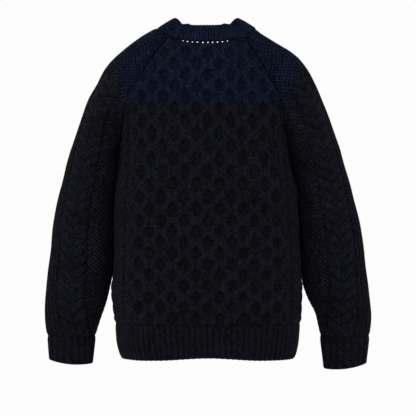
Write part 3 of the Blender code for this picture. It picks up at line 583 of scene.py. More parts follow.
def side_place(skin, z, end, seam, ways):
    """Where the panel ends at a height, and the wall's direction there. end 0 is right, 1 is left."""
    low, high = skin.ends(z)
    flat = high if end else low
    on_seam = np.interp(-z, -seam[:, 1], seam[:, 0])
    place = np.where(z > UNDERARM, on_seam, flat)
    way = np.stack([np.interp(-z, -seam[:, 1], ways[:, k]) for k in range(3)], -1)
    share = smoothstep((z - UNDERARM) / 0.002)[..., None]
    return place, unit(way * share + skin.normals(flat, z) * (1 - share)), share


# %% Soft folds
def soft_folds(points, folds):
    """Troughs and ridges along straight lines in the front view: (from, to, width, depth)."""
    moved = np.zeros(points.shape[:-1])
    flat = points[..., [0, 2]]
    for start, stop, width, depth in folds:
        a, b = np.array(start), np.array(stop)
        t = ((flat - a) @ (b - a)) / ((b - a) @ (b - a))
        away = np.linalg.norm(flat - a - np.clip(t, 0, 1)[..., None] * (b - a), axis=-1)
        ends = smoothstep((t + 0.25) / 0.35) * smoothstep((1.25 - t) / 0.35)
        moved -= depth * np.exp(-((away / width) ** 2)) * ends
    return moved


# %% Places in the picture, and the row of holes at the neck
def px(x, y):
    """A place in the picture as metres from the middle and up."""
    return (-(x - 208) * 0.0021, -(y - 41) * 0.0021)


HOLES = [-(x - 208) * 0.00206 for x in
         (173, 178, 183, 187.5, 192.5, 197.5, 203, 208, 212.5, 217.5, 222.5, 227.5, 232, 236)]


def eyelets(x):
    """How far an edge of the neck seam gives way at each small hole."""
    away = np.abs(x[..., None] - np.array(HOLES)).min(-1)
    return 2.3 * MM * rounded(away / (1.9 * MM))


# %% One body panel
RAGLAN_SLANT = 0.80  # straight across a slanting seam, as a share of level across


def body_panel(name, skin, front, left, right, folds, step):
    """left and right give each side's place and wall direction at given heights."""
    bend = -0.115 if front else -0.035
    below = HEM_SEAM + (bend - HEM_SEAM) * spaced(bend - HEM_SEAM, step, high=False)
    above = spaced((0.1 if front else 0.05), step, low=False)[1:]
    bottom = np.concatenate([below, np.full(len(above), bend)])
    climb = np.concatenate([np.zeros(len(below)), above])
    width = float(left(np.array([-0.4]))[0][0] - right(np.array([-0.4]))[0][0])
    across = spaced(width, step)
    top = np.full(len(across), FRONT_NECK)
    for _ in range(60):
        start, stop = right(top)[0], left(top)[0]
        along_top = skin.at(start + (stop - start) * across, top)[:, 0]
        top = top + 0.5 * (neck_height(along_top, front) - top)
    top = top - (0 if front else eyelets(along_top))
    z = bottom[:, None] + climb[:, None] * (top[None] - bottom[:, None])
    (from_u, from_way, from_seam), (to_u, to_way, to_seam) = right(z), left(z)
    u = from_u + (to_u - from_u) * across
    points, ways = skin.at(u, z), skin.normals(u, z)
    slant = np.where(z > UNDERARM, RAGLAN_SLANT, 1)
    to_left, to_right = (to_u - u) * slant, (u - from_u) * slant
    to_top = np.where(climb[:, None] > 0, (1 - climb[:, None]) * (top - bend), 1.0)
    for way, away, seam in ((from_way, to_right, from_seam), (to_way, to_left, to_seam)):
        share = (1 - smoothstep(away / (9 * MM)))[..., None] * seam
        ways = unit(ways * (1 - share) + way * share)
    share = (1 - smoothstep(to_top / (9 * MM)))[..., None]
    ways = unit(ways * (1 - share) + neck_direction(points) * share)
    edge = np.minimum(np.minimum(to_left, to_right), to_top)
    curl = np.maximum(lip(edge), join_lip(z - HEM_SEAM))
    x = u * spread_scale(z)
    cords, sway = honeycomb(x, z)
    inside = smoothstep((edge - 2.5 * MM) / (6 * MM)) * (0.4 + 0.6 * smoothstep((z - HEM_SEAM) / (9 * MM)))
    cable, columns, along = plait(np.abs(x) - SIDE_CABLE, z - HEM_SEAM)
    in_cable = (np.abs(np.abs(x) - SIDE_CABLE) < CABLE_HALF) & (z < -0.135)
    in_comb = np.abs(x - sway) < CORDS_EACH_SIDE * CELL / 2 + 1 * MM
    raised = np.where(in_comb, cords, np.where(in_cable, cable, moss(x, z))) * inside
    raised = raised + (unevenness(u, z, front) + soft_folds(points, folds)) * inside
    stitches = np.stack([
        np.where(in_cable, columns, (x - sway) / STITCH),
        np.where(in_cable, along, z / ROW)], -1)
    # The "deep" fact drives the wool's painted shade: the height of the raised stitches, plus 2.4 mm on moss
    # stitch so that moss is painted less dark.
    facts = {"navy": above_navy_line(points) + 0.6 * MM * np.cos(x * 2 * math.pi / CELL),
             "moss": np.where(in_cable | in_comb, 0.0, 1.0),
             "deep": raised + np.where(in_cable | in_comb, 0.0, 2.4 * MM)}
    outer = points + ways * (raised - curl)[..., None]
    inner = points - ways * (WALL - curl)[..., None]
    return cloth(name, outer, inner, stitches, facts)


def body_side(skin, end, seams, ways):
    return lambda z: side_place(skin, z, end, seams, ways)


def band_side(skin, sign):
    """The front edge of a front, where its band is sewn on."""
    def place(z):
        levels = skin.levels
        known = np.array([skin.across_at(sign * BAND_HALF, level) for level in levels])
        u = np.interp(z, levels, known)
        return u, skin.normals(u, z), np.zeros(np.shape(z) + (1,))
    return place


BACK_FOLDS = [
    (px(128, 118), px(150, 106), 0.010, 2.2 * MM), (px(127, 134), px(146, 124), 0.009, 1.6 * MM),
    (px(284, 112), px(264, 104), 0.010, 2.0 * MM), (px(285, 128), px(268, 122), 0.009, 1.4 * MM),
    (px(140, 300), px(190, 316), 0.016, 1.8 * MM), (px(280, 310), px(230, 322), 0.015, 1.6 * MM),
    (px(150, 210), px(260, 204), 0.022, 1.3 * MM), (px(150, 262), px(240, 270), 0.020, 1.2 * MM),
]
FRONT_FOLDS = [
    (px(130, 120), px(158, 104), 0.010, 2.4 * MM), (px(129, 138), px(150, 126), 0.009, 1.6 * MM),
    (px(284, 118), px(258, 102), 0.010, 2.4 * MM), (px(283, 138), px(262, 128), 0.009, 1.6 * MM),
    (px(140, 306), px(185, 318), 0.016, 1.8 * MM), (px(276, 300), px(236, 316), 0.015, 1.8 * MM),
    (px(145, 214), px(196, 206), 0.022, 1.3 * MM), (px(270, 222), px(220, 210), 0.022, 1.3 * MM),
]
back = body_panel(
    "knit_back", back_skin, False,
    body_side(back_skin, 1, back_seams["left"], back_ways["left"]),
    body_side(back_skin, 0, back_seams["right"], back_ways["right"]),
    BACK_FOLDS, 2.0 * MM)
fronts = {
    "left": body_panel(
        "knit_front_left", front_skins["left"], True,
        body_side(front_skins["left"], 1, front_seams["left"], front_ways["left"]),
        band_side(front_skins["left"], 1), FRONT_FOLDS, 2.1 * MM),
    "right": body_panel(
        "knit_front_right", front_skins["right"], True,
        band_side(front_skins["right"], -1),
        body_side(front_skins["right"], 0, front_seams["right"], front_ways["right"]),
        FRONT_FOLDS, 2.1 * MM),
}

# %% [markdown]
# ## Sleeves
#
# A sleeve is one piece of knitting whose two long edges are sewn together below the underarm. Its
# grid starts at the neck as a strip between the two raglan seams and goes on as a tube. Ribs run
# along its outer line, a plait on each side of them, and moss stitch fills the rest.

# %% The two sleeves
SLEEVE_FOLDS = {
    "left": [
        (px(96, 124), px(124, 117), 0.009, 3.4 * MM), (px(93, 136), px(117, 127), 0.008, 3.0 * MM),
        (px(90, 147), px(112, 140), 0.008, 2.4 * MM), (px(84, 176), px(106, 166), 0.013, 1.6 * MM),
        (px(70, 222), px(100, 214), 0.015, 1.6 * MM), (px(62, 268), px(92, 262), 0.016, 1.8 * MM),
        (px(56, 318), px(86, 326), 0.012, 1.6 * MM), (px(60, 300), px(88, 306), 0.012, 1.3 * MM),
    ],
    "right": [
        (px(288, 101), px(301, 103), 0.009, 3.0 * MM), (px(290, 110), px(312, 116), 0.009, 3.0 * MM),
        (px(297, 122), px(318, 131), 0.009, 2.2 * MM), (px(303, 166), px(326, 176), 0.013, 1.6 * MM),
        (px(310, 224), px(340, 234), 0.015, 1.6 * MM), (px(318, 272), px(350, 266), 0.016, 1.8 * MM),
        (px(326, 324), px(356, 316), 0.012, 1.6 * MM), (px(326, 304), px(350, 300), 0.012, 1.3 * MM),
    ],
}


def knit_sleeve(name, step):
    skin, underarm = sleeve_skins[name], underarms[name]
    length = skin.levels[-1]
    upper = underarm * spaced(underarm, step, high=False)
    lower = underarm + (length - underarm) * spaced(length - underarm, step, low=False)[1:]
    v = np.concatenate([upper, lower])
    joined_from = len(upper) - 1
    across = spaced(0.42, step * 0.95)
    low, high = skin.ends(v)
    u = low[:, None] + (high - low)[:, None] * across
    v = np.broadcast_to(v[:, None], u.shape)
    points, ways = skin.at(u, v), skin.normals(u, v)
    stations = np.linspace(0, underarm, 101)
    tube = smoothstep((v[:, :1] - underarm) / (6 * MM))
    seam_way = unit(skin.normals(low + 2 * MM, v[:, 0]) + skin.normals(high - 2 * MM, v[:, 0]))
    for end, table in ((0, front_ways[name]), (-1, back_ways[name])):
        way = np.stack([np.interp(v[:, 0], stations, table[:, k]) for k in range(3)], -1)
        way = unit(way * (1 - tube) + seam_way * tube)[:, None]
        away = np.abs(u - u[:, end][:, None])
        share = (1 - smoothstep(away / (9 * MM)))[..., None]
        ways = unit(ways * (1 - share) + way * share)
    share = (1 - smoothstep(v / (9 * MM)))[..., None]
    ways = unit(ways * (1 - share) + neck_direction(points) * share)
    beyond = np.clip(v - underarm, 0, 1) * 1.5
    edge = np.minimum((u - low[:, None]) * 0.8, (high[:, None] - u) * 0.8) + beyond
    edge = np.minimum(edge, v)
    curl = np.maximum(lip(edge), join_lip(length - v))
    inside = smoothstep((edge - 2.5 * MM) / (6 * MM)) * (0.4 + 0.6 * smoothstep((length - v) / (9 * MM)))
    ribs = RIB_HEIGHT * rib_ridges(u, SLEEVE_RIB)
    wide = SLEEVE_RIBS_EACH_SIDE + 0.5 + 2 * (v < SLEEVE_CABLE_TOP)
    in_ribs = np.abs(u) < wide * SLEEVE_RIB
    in_cable = (np.abs(np.abs(u) - SLEEVE_CABLE) < CABLE_HALF) & (v > SLEEVE_CABLE_TOP)
    cable, columns, along = plait(np.abs(u) - SLEEVE_CABLE, length - v)
    raised = np.where(in_ribs, ribs, np.where(in_cable, cable, moss(u, v))) * inside
    raised = raised + (unevenness(u, v, 2 + SIGNS[name]) + soft_folds(points, SLEEVE_FOLDS[name])) * inside
    stitches = np.stack([
        np.where(in_ribs, u / SLEEVE_RIB * 2 + 0.5, np.where(in_cable, columns, u / STITCH)),
        np.where(in_cable & ~in_ribs, along, v / ROW)], -1)
    # Painted shade: "deep" darkens the colour in sunken places. Moss stitch is lifted so it is darkened less;
    # above the navy line only by 1.0 mm, so the shoulders keep more painted shade.
    moss_shade_lift = np.where(above_navy_line(points) > 0, 1.0 * MM, 3.4 * MM)
    facts = {"navy": above_navy_line(points), "moss": np.where(in_ribs | in_cable, 0.0, 1.0),
             "deep": raised + np.where(in_ribs | in_cable, 0.0, moss_shade_lift)}
    outer = points + ways * (raised - curl)[..., None]
    inner = points - ways * (WALL - curl)[..., None]
    return cloth("knit_sleeve_" + name, outer, inner, stitches, facts, joined_from=joined_from)


sleeves = {name: knit_sleeve(name, 2.1 * MM) for name in SIGNS}

# %% [markdown]
# ## Ribbed edges
#
# Hem, cuffs, collar and bands are knitted in rib: a knit column stands up and the purl column beside
# it sinks. Eight points to a rib are enough for its round back. The lower edge curls round into the
# inner face.

# %% Ribs on a grid
HEM_RIBS, CUFF_RIBS, COLLAR_RIB, BAND_RIBS = 42, 17, 6.2 * MM, 3


def ribbed(name, base, ways, share, ribs, height, far, closed=False, grow=None, navy=-1.0, join=None):
    """base and ways are grids of rows along the edge. far is each row's distance from its free edges,
    and join its distance from the knitting that the rib goes on from."""
    rows, columns = base.shape[:2]
    ridge = np.abs(np.sin(math.pi * ribs * share)) ** 0.75
    raised = height * ridge[None] * (grow[:, None] if grow is not None else 1)
    steps = np.linalg.norm(np.diff(base, axis=0), axis=-1).mean(1)
    down = np.concatenate([[0], np.cumsum(steps)])
    widths = np.linalg.norm(np.diff(base[rows // 2], axis=0), axis=-1)
    along = np.concatenate([[0], np.cumsum(widths)])
    edge = np.broadcast_to(far[:, None], (rows, columns)).copy()
    if not closed:
        edge = np.minimum(edge, np.minimum(along, along[-1] - along)[None])
    lumps = unevenness(along[None], down[:, None], ribs) * 0.6
    raised = raised * smoothstep((edge - 0.2 * MM) / (2.5 * MM)) + lumps
    curl = lip(edge) if join is None else np.maximum(lip(edge), join_lip(join)[:, None])
    outer = base + ways * (raised - curl)[..., None]
    inner = base - ways * (WALL - curl)[..., None]
    stitches = np.stack(np.broadcast_arrays(2 * ribs * share[None] + 0.5, down[:, None] / ROW), -1)
    flat = np.zeros((rows, columns))
    # The "deep" fact paints shade into the colour of the rib valleys.
    facts = {"navy": flat + navy, "moss": flat, "deep": raised}
    return cloth(name, outer, inner, stitches, facts, closed=closed)


def hem_low(x):
    return -0.6655 + 8 * MM * np.exp(-((x / 0.09) ** 2))


def hem(name, skin, start, stop, ribs):
    share = np.unique(np.concatenate([np.linspace(0, 1, 8 * ribs + 1), [0.0004, 0.0012, 0.9988, 0.9996]]))
    down = spaced(0.075, 2.4 * MM)
    top = HEM_SEAM - SEAM / 2
    x = skin.at(start(top) + (stop(top) - start(top)) * share, top)[:, 0]
    z = top + (hem_low(x) - top)[None] * down[:, None]
    z[-3:] += 0.8 * MM * (1 - np.abs(np.sin(math.pi * ribs * share)))
    from_u, to_u = start(z), stop(z)
    u = from_u + (to_u - from_u) * share
    far, join = (1 - down) * 0.075, down * 0.075
    grow = 0.6 + 0.4 * smoothstep(down / 0.15)
    return ribbed(name, skin.at(u, z), skin.normals(u, z), share, ribs, RIB_HEIGHT, far, grow=grow, join=join)


def band_edge(skin, sign):
    place = band_side(skin, sign)
    return lambda z: place(np.asarray(z, float))[0] + sign * SEAM / 2


left_front, right_front = front_skins["left"], front_skins["right"]
hems = {
    "back": hem("rib_hem_back", back_skin, lambda z: back_skin.ends(z)[0] + SEAM / 2,
                lambda z: back_skin.ends(z)[1] - SEAM / 2, HEM_RIBS),
    "front_left": hem("rib_hem_front_left", left_front, band_edge(left_front, 1),
                      lambda z: left_front.ends(z)[1] - SEAM / 2, HEM_RIBS // 2 - 1),
    "front_right": hem("rib_hem_front_right", right_front, lambda z: right_front.ends(z)[0] + SEAM / 2,
                       band_edge(right_front, -1), HEM_RIBS // 2 - 1),
}

# %% Cuffs
CUFF_END = {
    "left": np.array([(333, -672), (245, -679)], float) * MM,
    "right": np.array([(332, -680), (246, -690)], float) * MM,
}
CUFF_DROOP, CUFF_END_DEPTH = 0.0045, 0.0175


def cuff(name):
    sign, last = SIGNS[name], sleeve_rings[name][-1]
    columns = CUFF_RIBS * 9
    done = lengths_along(last)
    pick = np.linspace(0, done[-1], columns, endpoint=False)
    top = np.column_stack([np.interp(pick, done, last[:, k]) for k in range(3)])
    (out_x, out_z), (in_x, in_z) = CUFF_END[name]
    turn = 2 * math.pi * pick / done[-1]
    end = np.column_stack([
        sign * ((out_x + in_x) / 2 - (out_x - in_x) / 2 * np.cos(turn)),
        CUFF_FORWARD + 0.002 - CUFF_END_DEPTH * np.sin(turn),
        (out_z + in_z) / 2 - (out_z - in_z) / 2 * np.cos(turn) - CUFF_DROOP * np.sin(turn) ** 2,
    ])
    down = spaced(0.055, 2.2 * MM)
    base = top[None] + (end - top)[None] * down[:, None, None]
    base += unit(end.mean(0) - top.mean(0)) * SEAM * (1 - down)[:, None, None]
    around = np.roll(base, -1, axis=1) - np.roll(base, 1, axis=1)
    ways = unit(np.cross(around, (end - top)[None]))
    ways *= np.sign(((base - base.mean(1, keepdims=True)) * ways).sum(-1, keepdims=True))
    far, join = (1 - down) * 0.055, down * 0.055
    grow = 0.6 + 0.4 * smoothstep(down / 0.15)
    return ribbed("rib_cuff_" + name, base, ways, pick / done[-1], CUFF_RIBS, RIB_HEIGHT, far,
                  closed=True, grow=grow, join=join)


cuffs = {name: cuff(name) for name in SIGNS}

# %% [markdown]
# ## Collar with its row of holes
#
# The collar is picked up along the neckline and stands up from it. Behind, one stitch in three was
# left open, so light shows through a row of small holes there. They are real gaps in the cloth.

# %% Collar
COLLAR_HEIGHT, COLLAR_TUCK = 0.043, 1.1 * MM


def collar_rise(points):
    x, y = (points[..., 0] - NECK_SHIFT) / 0.102, (points[..., 1] + 0.012) / 0.078
    size = np.maximum(np.hypot(x, y), 1e-9)
    x, y = x / size, y / size
    lean = smoothstep((np.abs(x) - 0.1) / 0.6)
    return unit(np.stack([-0.86 * x * lean, -0.42 * y, 0.93 - 0.45 * x * x], -1))


def neck_points(skin, start, stop, front, count):
    x = np.linspace(start, stop, count)
    z = neck_height(x, front)
    return skin.at(np.array([skin.across_at(a, b) for a, b in zip(x, z)]), z)


def knit_collar():
    tops = {(where, n): skin.at(*seams[n][0])[0]
            for where, skins, seams in (("back", {n: back_skin for n in SIGNS}, back_seams),
                                        ("front", front_skins, front_seams))
            for n, skin in skins.items()}
    line = np.concatenate([
        neck_points(left_front, BAND_HALF, tops["front", "left"], True, 60)[:-1],
        sleeve_rings["left"][0],
        neck_points(back_skin, tops["back", "left"], tops["back", "right"], False, 90)[1:-1],
        sleeve_rings["right"][0][::-1],
        neck_points(right_front, tops["front", "right"], -BAND_HALF, True, 60)[1:],
    ])
    done = lengths_along(line)
    ribs = round(done[-1] / COLLAR_RIB)
    pick = np.linspace(2 * SEAM, done[-1] - 2 * SEAM, 8 * ribs + 1)
    foot = np.column_stack([np.interp(pick, done, line[:, k]) for k in range(3)])
    way = neck_direction(foot)
    rise = collar_rise(foot)
    rise = unit(rise - way * (rise * way).sum(1, keepdims=True))
    share = (pick - pick[0]) / (pick[-1] - pick[0])
    up = spaced(COLLAR_HEIGHT, 2.2 * MM)
    holes = np.where(foot[:, 1] > 0, eyelets(foot[:, 0]), 0)
    aside = np.abs(foot[:, 0] - NECK_SHIFT)
    start = holes - COLLAR_TUCK * (1 + (aside / 0.055) ** 2)
    top = COLLAR_HEIGHT + np.where(foot[:, 1] > 0, 3.5 * MM * np.exp(-(((aside - 0.056) / 0.016) ** 2)), 0)
    top = top - 2.5 * MM * smoothstep((aside - 0.075) / 0.02)
    height = start[None] + (top - start)[None] * up[:, None]
    height = height + 0.5 * MM * (up[:, None] > 0.98) * np.abs(np.sin(math.pi * ribs * share))[None]
    bow = 1.2 * MM * np.sin(math.pi * up)
    base = foot[None] + rise[None] * height[..., None] + way[None] * bow[:, None, None]
    ways = np.broadcast_to(way[None], base.shape)
    far = np.minimum(up, 1 - up) * COLLAR_HEIGHT
    return ribbed("rib_collar", base, ways, share, ribs, RIB_HEIGHT * 0.75, far, navy=1.0)


collar = knit_collar()

# %% [markdown]
# ## Button bands and buttons
#
# The photograph shows the back only, so the front's closure is a plain one: two ribbed bands, the
# wearer's left over the right, and six turned buttons, each a dished disc with four holes.

# %% Bands
def band_line(skin):
    levels = np.linspace(-0.6575, FRONT_NECK, 15)
    middle = skin.at(np.zeros(15), levels)
    rise = unit(np.array([0.0, 0.42, 0.93]))
    above = [middle[-1] + rise * COLLAR_HEIGHT * share for share in (0.5, 1.0)]
    return np.concatenate([middle, above])[:, 1:]


def band(name, skin):
    line = band_line(skin)
    done = lengths_along(line)
    down = spaced(done[-1], 3.0 * MM)
    y, z = (np.interp(down * done[-1], done, line[:, k]) for k in (0, 1))
    smooth = np.convolve(np.pad(y, 6, mode="edge"), np.ones(13) / 13, mode="valid")
    y = np.where((down > 0.02) & (down < 0.98), smooth, y)
    slope = np.gradient(np.column_stack([y, z]), axis=0)
    way = unit(np.column_stack([np.zeros(len(y)), -slope[:, 1], slope[:, 0]]))
    share = np.linspace(0, 1, 31)
    half = BAND_HALF - SEAM / 2
    x = -half + 2 * half * share
    base = np.stack([np.broadcast_to(x, (len(y), len(x))),
                     np.broadcast_to(y[:, None], (len(y), len(x))),
                     np.broadcast_to(z[:, None], (len(y), len(x)))], -1)
    ways = np.broadcast_to(way[:, None], base.shape)
    far = np.minimum(down, 1 - down) * done[-1]
    return ribbed(name, base, ways, share, BAND_RIBS, RIB_HEIGHT * 0.5, far), np.column_stack([y, z]), way


band_right, _, _ = band("rib_band_right", right_front)
band_left, band_path, band_way = band("rib_band_left", left_front)

# %% Buttons
BUTTON_RADIUS = 10.5 * MM
BUTTON_HEIGHTS = (-0.094, -0.196, -0.298, -0.400, -0.502, -0.604)
BUTTON_FACE = np.array([(0, -1.5), (5.2, -1.35), (6.4, -1.2), (7.4, -0.45), (8.6, 0.0), (9.6, -0.15),
                        (10.3, -0.8), (10.5, -1.7), (10.3, -2.8), (9.4, -3.7), (8.0, -4.4), (0, -4.5)]) * MM
HOLE_AT, HOLE_RADIUS = 2.1 * MM, 0.95 * MM


def button(number, place, way):
    done = lengths_along(BUTTON_FACE)
    profile = along_line(BUTTON_FACE, np.linspace(0, 1, 44))
    turn = np.linspace(0, 2 * math.pi, 72, endpoint=False)
    r, z = profile[:, 0].clip(0.02 * MM), profile[:, 1]
    x, y = np.outer(r, np.cos(turn)), np.outer(r, np.sin(turn))
    z = np.repeat(z[:, None], len(turn), 1)
    front = np.arange(len(r))[:, None] < 16
    for a, b in ((1, 1), (1, -1), (-1, 1), (-1, -1)):
        away = np.hypot(x - a * HOLE_AT, y - b * HOLE_AT) / HOLE_RADIUS
        z = np.where(front, z - 2.0 * MM * smoothstep((1.35 - away) / 0.6), z)
    points = np.stack([x, y, z], -1).reshape(-1, 3)
    faces = grid_faces(len(r), len(turn), True).tolist()
    faces += [list(range(len(turn)))[::-1], [len(points) - len(turn) + n for n in range(len(turn))]]
    side = np.array([1.0, 0, 0])
    up = np.cross(way, side)
    points = place + points @ np.array([side, up, way])
    mesh = bpy.data.meshes.new(f"turned_button_{number}")
    mesh.from_pydata(points.tolist(), [], [f[::-1] for f in faces])
    mesh.polygons.foreach_set("use_smooth", [True] * len(mesh.polygons))
    made = bpy.data.objects.new(mesh.name, mesh)
    bpy.context.scene.collection.objects.link(made)
    return made


lift = RIB_HEIGHT * 0.5 + 4.5 * MM + SEAM
buttons = []
for number, height in enumerate(BUTTON_HEIGHTS, 1):
    y = np.interp(height, band_path[:, 1], band_path[:, 0])
    way = unit(np.array([np.interp(height, band_path[:, 1], band_way[:, k]) for k in range(3)]))
    buttons.append(button(number, np.array([0.0, y, height]) + way * lift, way))
print(len(buttons), "buttons of", 2 * BUTTON_RADIUS / MM, "mm")

# %% [markdown]
# ## Wool
#
# Black wool is not a flat black. Each stitch is a small V whose two legs catch the light, and loose
# fibres veil it with a faint sheen. Shade is painted into the colour: it darkens the sunken places and
# the gaps between stitch legs, and lightens the crowns a little. The stitches are finer than the mesh,
# so they come from a pattern in the material. It counts columns and rows in the grid's own
# coordinates, and so it follows the cords and plaits as they turn.

# %% Nodes of a wool
class Nodes:
    """Short names for a material's nodes."""

    def __init__(self, name):
        self.material = bpy.data.materials.new(name)
        self.material.use_nodes = True
        self.tree = self.material.node_tree
        self.shader = self.tree.nodes["Principled BSDF"]

    def add(self, kind, inputs=(), **settings):
        node = self.tree.nodes.new(kind)
        for key, value in settings.items():
            setattr(node, key, value)
        for key, value in dict(inputs).items():
            if isinstance(value, bpy.types.NodeSocket):
                self.tree.links.new(value, node.inputs[key])
            else:
                node.inputs[key].default_value = value
        return node

    def math(self, operation, *values):
        return self.add("ShaderNodeMath", dict(enumerate(values)), operation=operation).outputs[0]

    def spread(self, value, a, b, low, high):
        inputs = {"Value": value, "From Min": a, "From Max": b, "To Min": low, "To Max": high}
        return self.add("ShaderNodeMapRange", inputs).outputs[0]

    def fact(self, name):
        return self.add("ShaderNodeAttribute", attribute_name=name).outputs["Fac"]

    def noise(self, scale, detail, where):
        inputs = {"Vector": where, "Scale": scale, "Detail": detail, "Roughness": 0.6}
        return self.add("ShaderNodeTexNoise", inputs).outputs["Fac"]

    def mix(self, share, a, b):
        node = self.add("ShaderNodeMix", data_type="RGBA")
        for key, value in ((0, share), (6, a), (7, b)):
            if isinstance(value, bpy.types.NodeSocket):
                self.tree.links.new(value, node.inputs[key])
            else:
                node.inputs[key].default_value = value
        return node.outputs[2]


def stitch_height(wool):
    """Knit stitches as pairs of leaning legs, and moss stitch as a chessboard of beads."""
    place = wool.add("ShaderNodeUVMap", uv_map="stitches").outputs[0]
    split = wool.add("ShaderNodeSeparateXYZ", {0: place})
    column, row = split.outputs[0], split.outputs[1]
    from_middle = wool.math("PINGPONG", wool.math("ADD", column, 0.5), 0.5)
    leg = wool.math("MULTIPLY", from_middle, 2.0)
    lean = wool.math("FRACT", wool.math("SUBTRACT", row, wool.math("MULTIPLY", leg, 0.55)))
    along = wool.math("POWER", wool.math("SINE", wool.math("MULTIPLY", lean, math.pi)), 0.5)
    other_side = wool.math("SUBTRACT", 1.0, leg)
    round_leg = wool.math("SQRT", wool.math("MULTIPLY", wool.math("MULTIPLY", leg, 4.0), other_side))
    knit = wool.math("MULTIPLY", along, wool.math("MAXIMUM", round_leg, 0.0))
    beads = wool.math("MULTIPLY", wool.math("COSINE", wool.math("MULTIPLY", column, math.pi)),
                      wool.math("COSINE", wool.math("MULTIPLY", row, math.pi)))
    beads = wool.math("MULTIPLY_ADD", beads, 0.42, 0.64)
    moss_here = wool.fact("moss")
    return wool.math("ADD", wool.math("MULTIPLY", knit, wool.math("SUBTRACT", 1.0, moss_here)),
                     wool.math("MULTIPLY", beads, moss_here))


def knitted_wool(name, black, navy, deepest, crest):
    wool = Nodes(name)
    here = wool.add("ShaderNodeTexCoord").outputs["Object"]
    height = stitch_height(wool)
    blotch = wool.noise(55.0, 3.0, here)
    marl = wool.noise(210.0, 1.0, here)
    fibre = wool.noise(700.0, 4.0, here)
    colour = wool.mix(wool.spread(wool.fact("navy"), -0.5 * MM, 0.5 * MM, 0.0, 1.0), black, navy)
    # Painted shade: the colour falls to `deepest` where the "deep" fact is low, in the sunken places, and is
    # painted slightly lighter (1.12) on the highest places.
    shade = wool.spread(wool.fact("deep"), -0.3 * MM, crest, deepest, 1.12)
    # Painted shade and highlight at stitch size: the gaps between stitch legs and moss beads are darkened,
    # and the crowns lightened.
    shade = wool.math("MULTIPLY", shade, wool.spread(height, 0.05, 0.95, 0.12, 1.34))
    shade = wool.math("MULTIPLY", shade, wool.spread(blotch, 0.3, 0.7, 0.86, 1.14))
    shade = wool.math("MULTIPLY", shade, wool.spread(marl, 0.36, 0.64, 0.40, 1.52))
    shade = wool.math("MULTIPLY", shade, wool.spread(fibre, 0.3, 0.7, 0.70, 1.30))
    grey = wool.add("ShaderNodeCombineColor", {0: shade, 1: shade, 2: shade}).outputs[0]
    tint = wool.add("ShaderNodeMix", data_type="RGBA", blend_type="MULTIPLY")
    tint.inputs[0].default_value = 1.0
    wool.tree.links.new(colour, tint.inputs[6])
    wool.tree.links.new(grey, tint.inputs[7])
    wool.tree.links.new(tint.outputs[2], wool.shader.inputs["Base Color"])
    rough = wool.spread(fibre, 0.2, 0.8, 0.82, 1.0)
    wool.tree.links.new(rough, wool.shader.inputs["Roughness"])
    fuzz = wool.add("ShaderNodeBump", {"Height": fibre, "Strength": 0.5, "Distance": 0.3 * MM})
    bump = wool.add("ShaderNodeBump", {"Height": height, "Strength": 1.0, "Distance": 1.3 * MM,
                                       "Normal": fuzz.outputs[0]})
    wool.tree.links.new(bump.outputs[0], wool.shader.inputs["Normal"])
    wool.shader.inputs["Metallic"].default_value = 0.0
    wool.shader.inputs["Specular IOR Level"].default_value = 0.03
    wool.shader.inputs["Sheen Weight"].default_value = 0.007
    wool.shader.inputs["Sheen Roughness"].default_value = 0.45
    wool.shader.inputs["Sheen Tint"].default_value = (0.72, 0.78, 1.0, 1.0)
    return wool.material


BLACK_YARN = (0.0037, 0.0040, 0.0064, 1)
NAVY_YARN = (0.0029, 0.0043, 0.0128, 1)
# The last two numbers set the painted shade: the share of colour left in the deepest places, and the height
# above which nothing is darkened. The collar's rib valleys are painted much darker.
wool = knitted_wool("black_and_navy_wool", BLACK_YARN, NAVY_YARN, 0.60, 4.0 * MM)
collar_wool = knitted_wool("navy_rib_wool", BLACK_YARN, (0.0042, 0.0058, 0.0172, 1), 0.15, 1.8 * MM)

# %% Horn for the buttons
horn = Nodes("dark_horn")
here = horn.add("ShaderNodeTexCoord").outputs["Object"]
streaks = horn.add("ShaderNodeMapping", {"Vector": here, "Scale": (1.0, 1.0, 0.35)}).outputs[0]
cloud = horn.noise(160.0, 5.0, streaks)
DARK_HORN, PALE_HORN = (0.004, 0.0035, 0.003, 1), (0.022, 0.014, 0.009, 1)
horn_colour = horn.mix(horn.spread(cloud, 0.35, 0.7, 0.0, 1.0), DARK_HORN, PALE_HORN)
horn.tree.links.new(horn_colour, horn.shader.inputs["Base Color"])
horn.tree.links.new(horn.spread(cloud, 0.3, 0.7, 0.42, 0.55), horn.shader.inputs["Roughness"])
scratches = horn.add("ShaderNodeBump", {"Height": horn.noise(1400.0, 2.0, here), "Strength": 0.15,
                                        "Distance": 0.05 * MM})
horn.tree.links.new(scratches.outputs[0], horn.shader.inputs["Normal"])
horn.shader.inputs["Specular IOR Level"].default_value = 0.3
print("finishes:", [m.name for m in (wool, collar_wool, horn.material)])

# %% [markdown]
# ## Put the pieces in place
#
# Each piece takes the place of its plain one.


def dress(obj, node, finish):
    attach(obj, "root")
    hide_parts(node)
    obj.data.materials.append(finish)


dress(back, "back", wool)
dress(collar, "collar", collar_wool)
dress(hems["back"], "hem_back", wool)
for name in SIGNS:
    dress(fronts[name], "front_" + name, wool)
    dress(sleeves[name], "sleeve_" + name, wool)
    dress(cuffs[name], "cuff_" + name, wool)
    dress(hems["front_" + name], "hem_front_" + name, wool)
dress(band_right, "band_right", wool)
dress(band_left, "band_left", wool)
for number, made in enumerate(buttons, 1):
    dress(made, f"button_{number}", horn.material)

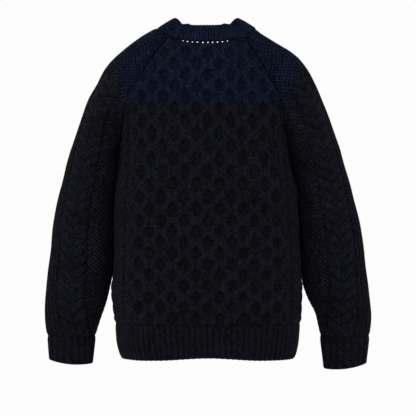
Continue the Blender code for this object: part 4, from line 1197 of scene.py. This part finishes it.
# %% [markdown]
# ## Floor, light and camera
#
# The cardigan is seen against plain white in even light, so the world itself is white and lights it
# from all round. A pale floor lies below. The camera stands behind the garment, far away, as a long
# lens keeps the near and far sides the same size.

# %% Floor
floor_mesh = bpy.data.meshes.new("floor")
turn = np.linspace(0, 2 * math.pi, 64, endpoint=False)
ring_points = [(1.1 * math.cos(a), 1.1 * math.sin(a), -0.97) for a in turn]
floor_mesh.from_pydata(ring_points, [], [list(range(64))])
floor = bpy.data.objects.new("floor", floor_mesh)
bpy.context.scene.collection.objects.link(floor)
paper = Nodes("pale_floor")
paper.shader.inputs["Roughness"].default_value = 0.9
paper.shader.inputs["Base Color"].default_value = (0.86, 0.86, 0.86, 1)
floor_mesh.materials.append(paper.material)

# %% Light
world = bpy.data.worlds.new("white_room")
world.use_nodes = True
sky = world.node_tree.nodes["Background"]
sky.inputs["Color"].default_value = (0.978, 0.979, 0.983, 1)
sky.inputs["Strength"].default_value = 1.0
bpy.context.scene.world = world


def soft_light(name, place, toward, size, watts):
    light = bpy.data.lights.new(name, "AREA")
    light.shape, light.size, light.energy = "DISK", size, watts
    made = bpy.data.objects.new(name, light)
    made.location = place
    way = np.array(toward, float) - np.array(place, float)
    made.rotation_mode = "QUATERNION"
    made.rotation_quaternion = Vector((0, 0, -1)).rotation_difference(Vector(way))
    bpy.context.scene.collection.objects.link(made)


soft_light("left_light", (2.4, 1.6, 0.5), (0, 0, -0.35), 1.2, 50)
soft_light("right_light", (-2.4, 1.6, 0.5), (0, 0, -0.35), 1.2, 34)
soft_light("top_light", (0.2, 1.8, 2.2), (0, 0, -0.3), 1.2, 26)
soft_light("front_light", (0.8, -2.4, 0.6), (0, 0, -0.35), 1.2, 45)

# %% Camera
camera = bpy.data.cameras.new("camera")
camera.lens, camera.sensor_width = 144.2, 36.0
camera_object = bpy.data.objects.new("camera", camera)
camera_object.location = (0.0, 3.5, -0.3507)
camera_object.rotation_euler = (math.radians(90), 0, math.radians(180))
bpy.context.scene.collection.objects.link(camera_object)
bpy.context.scene.camera = camera_object
bpy.context.scene.view_settings.view_transform = "Standard"
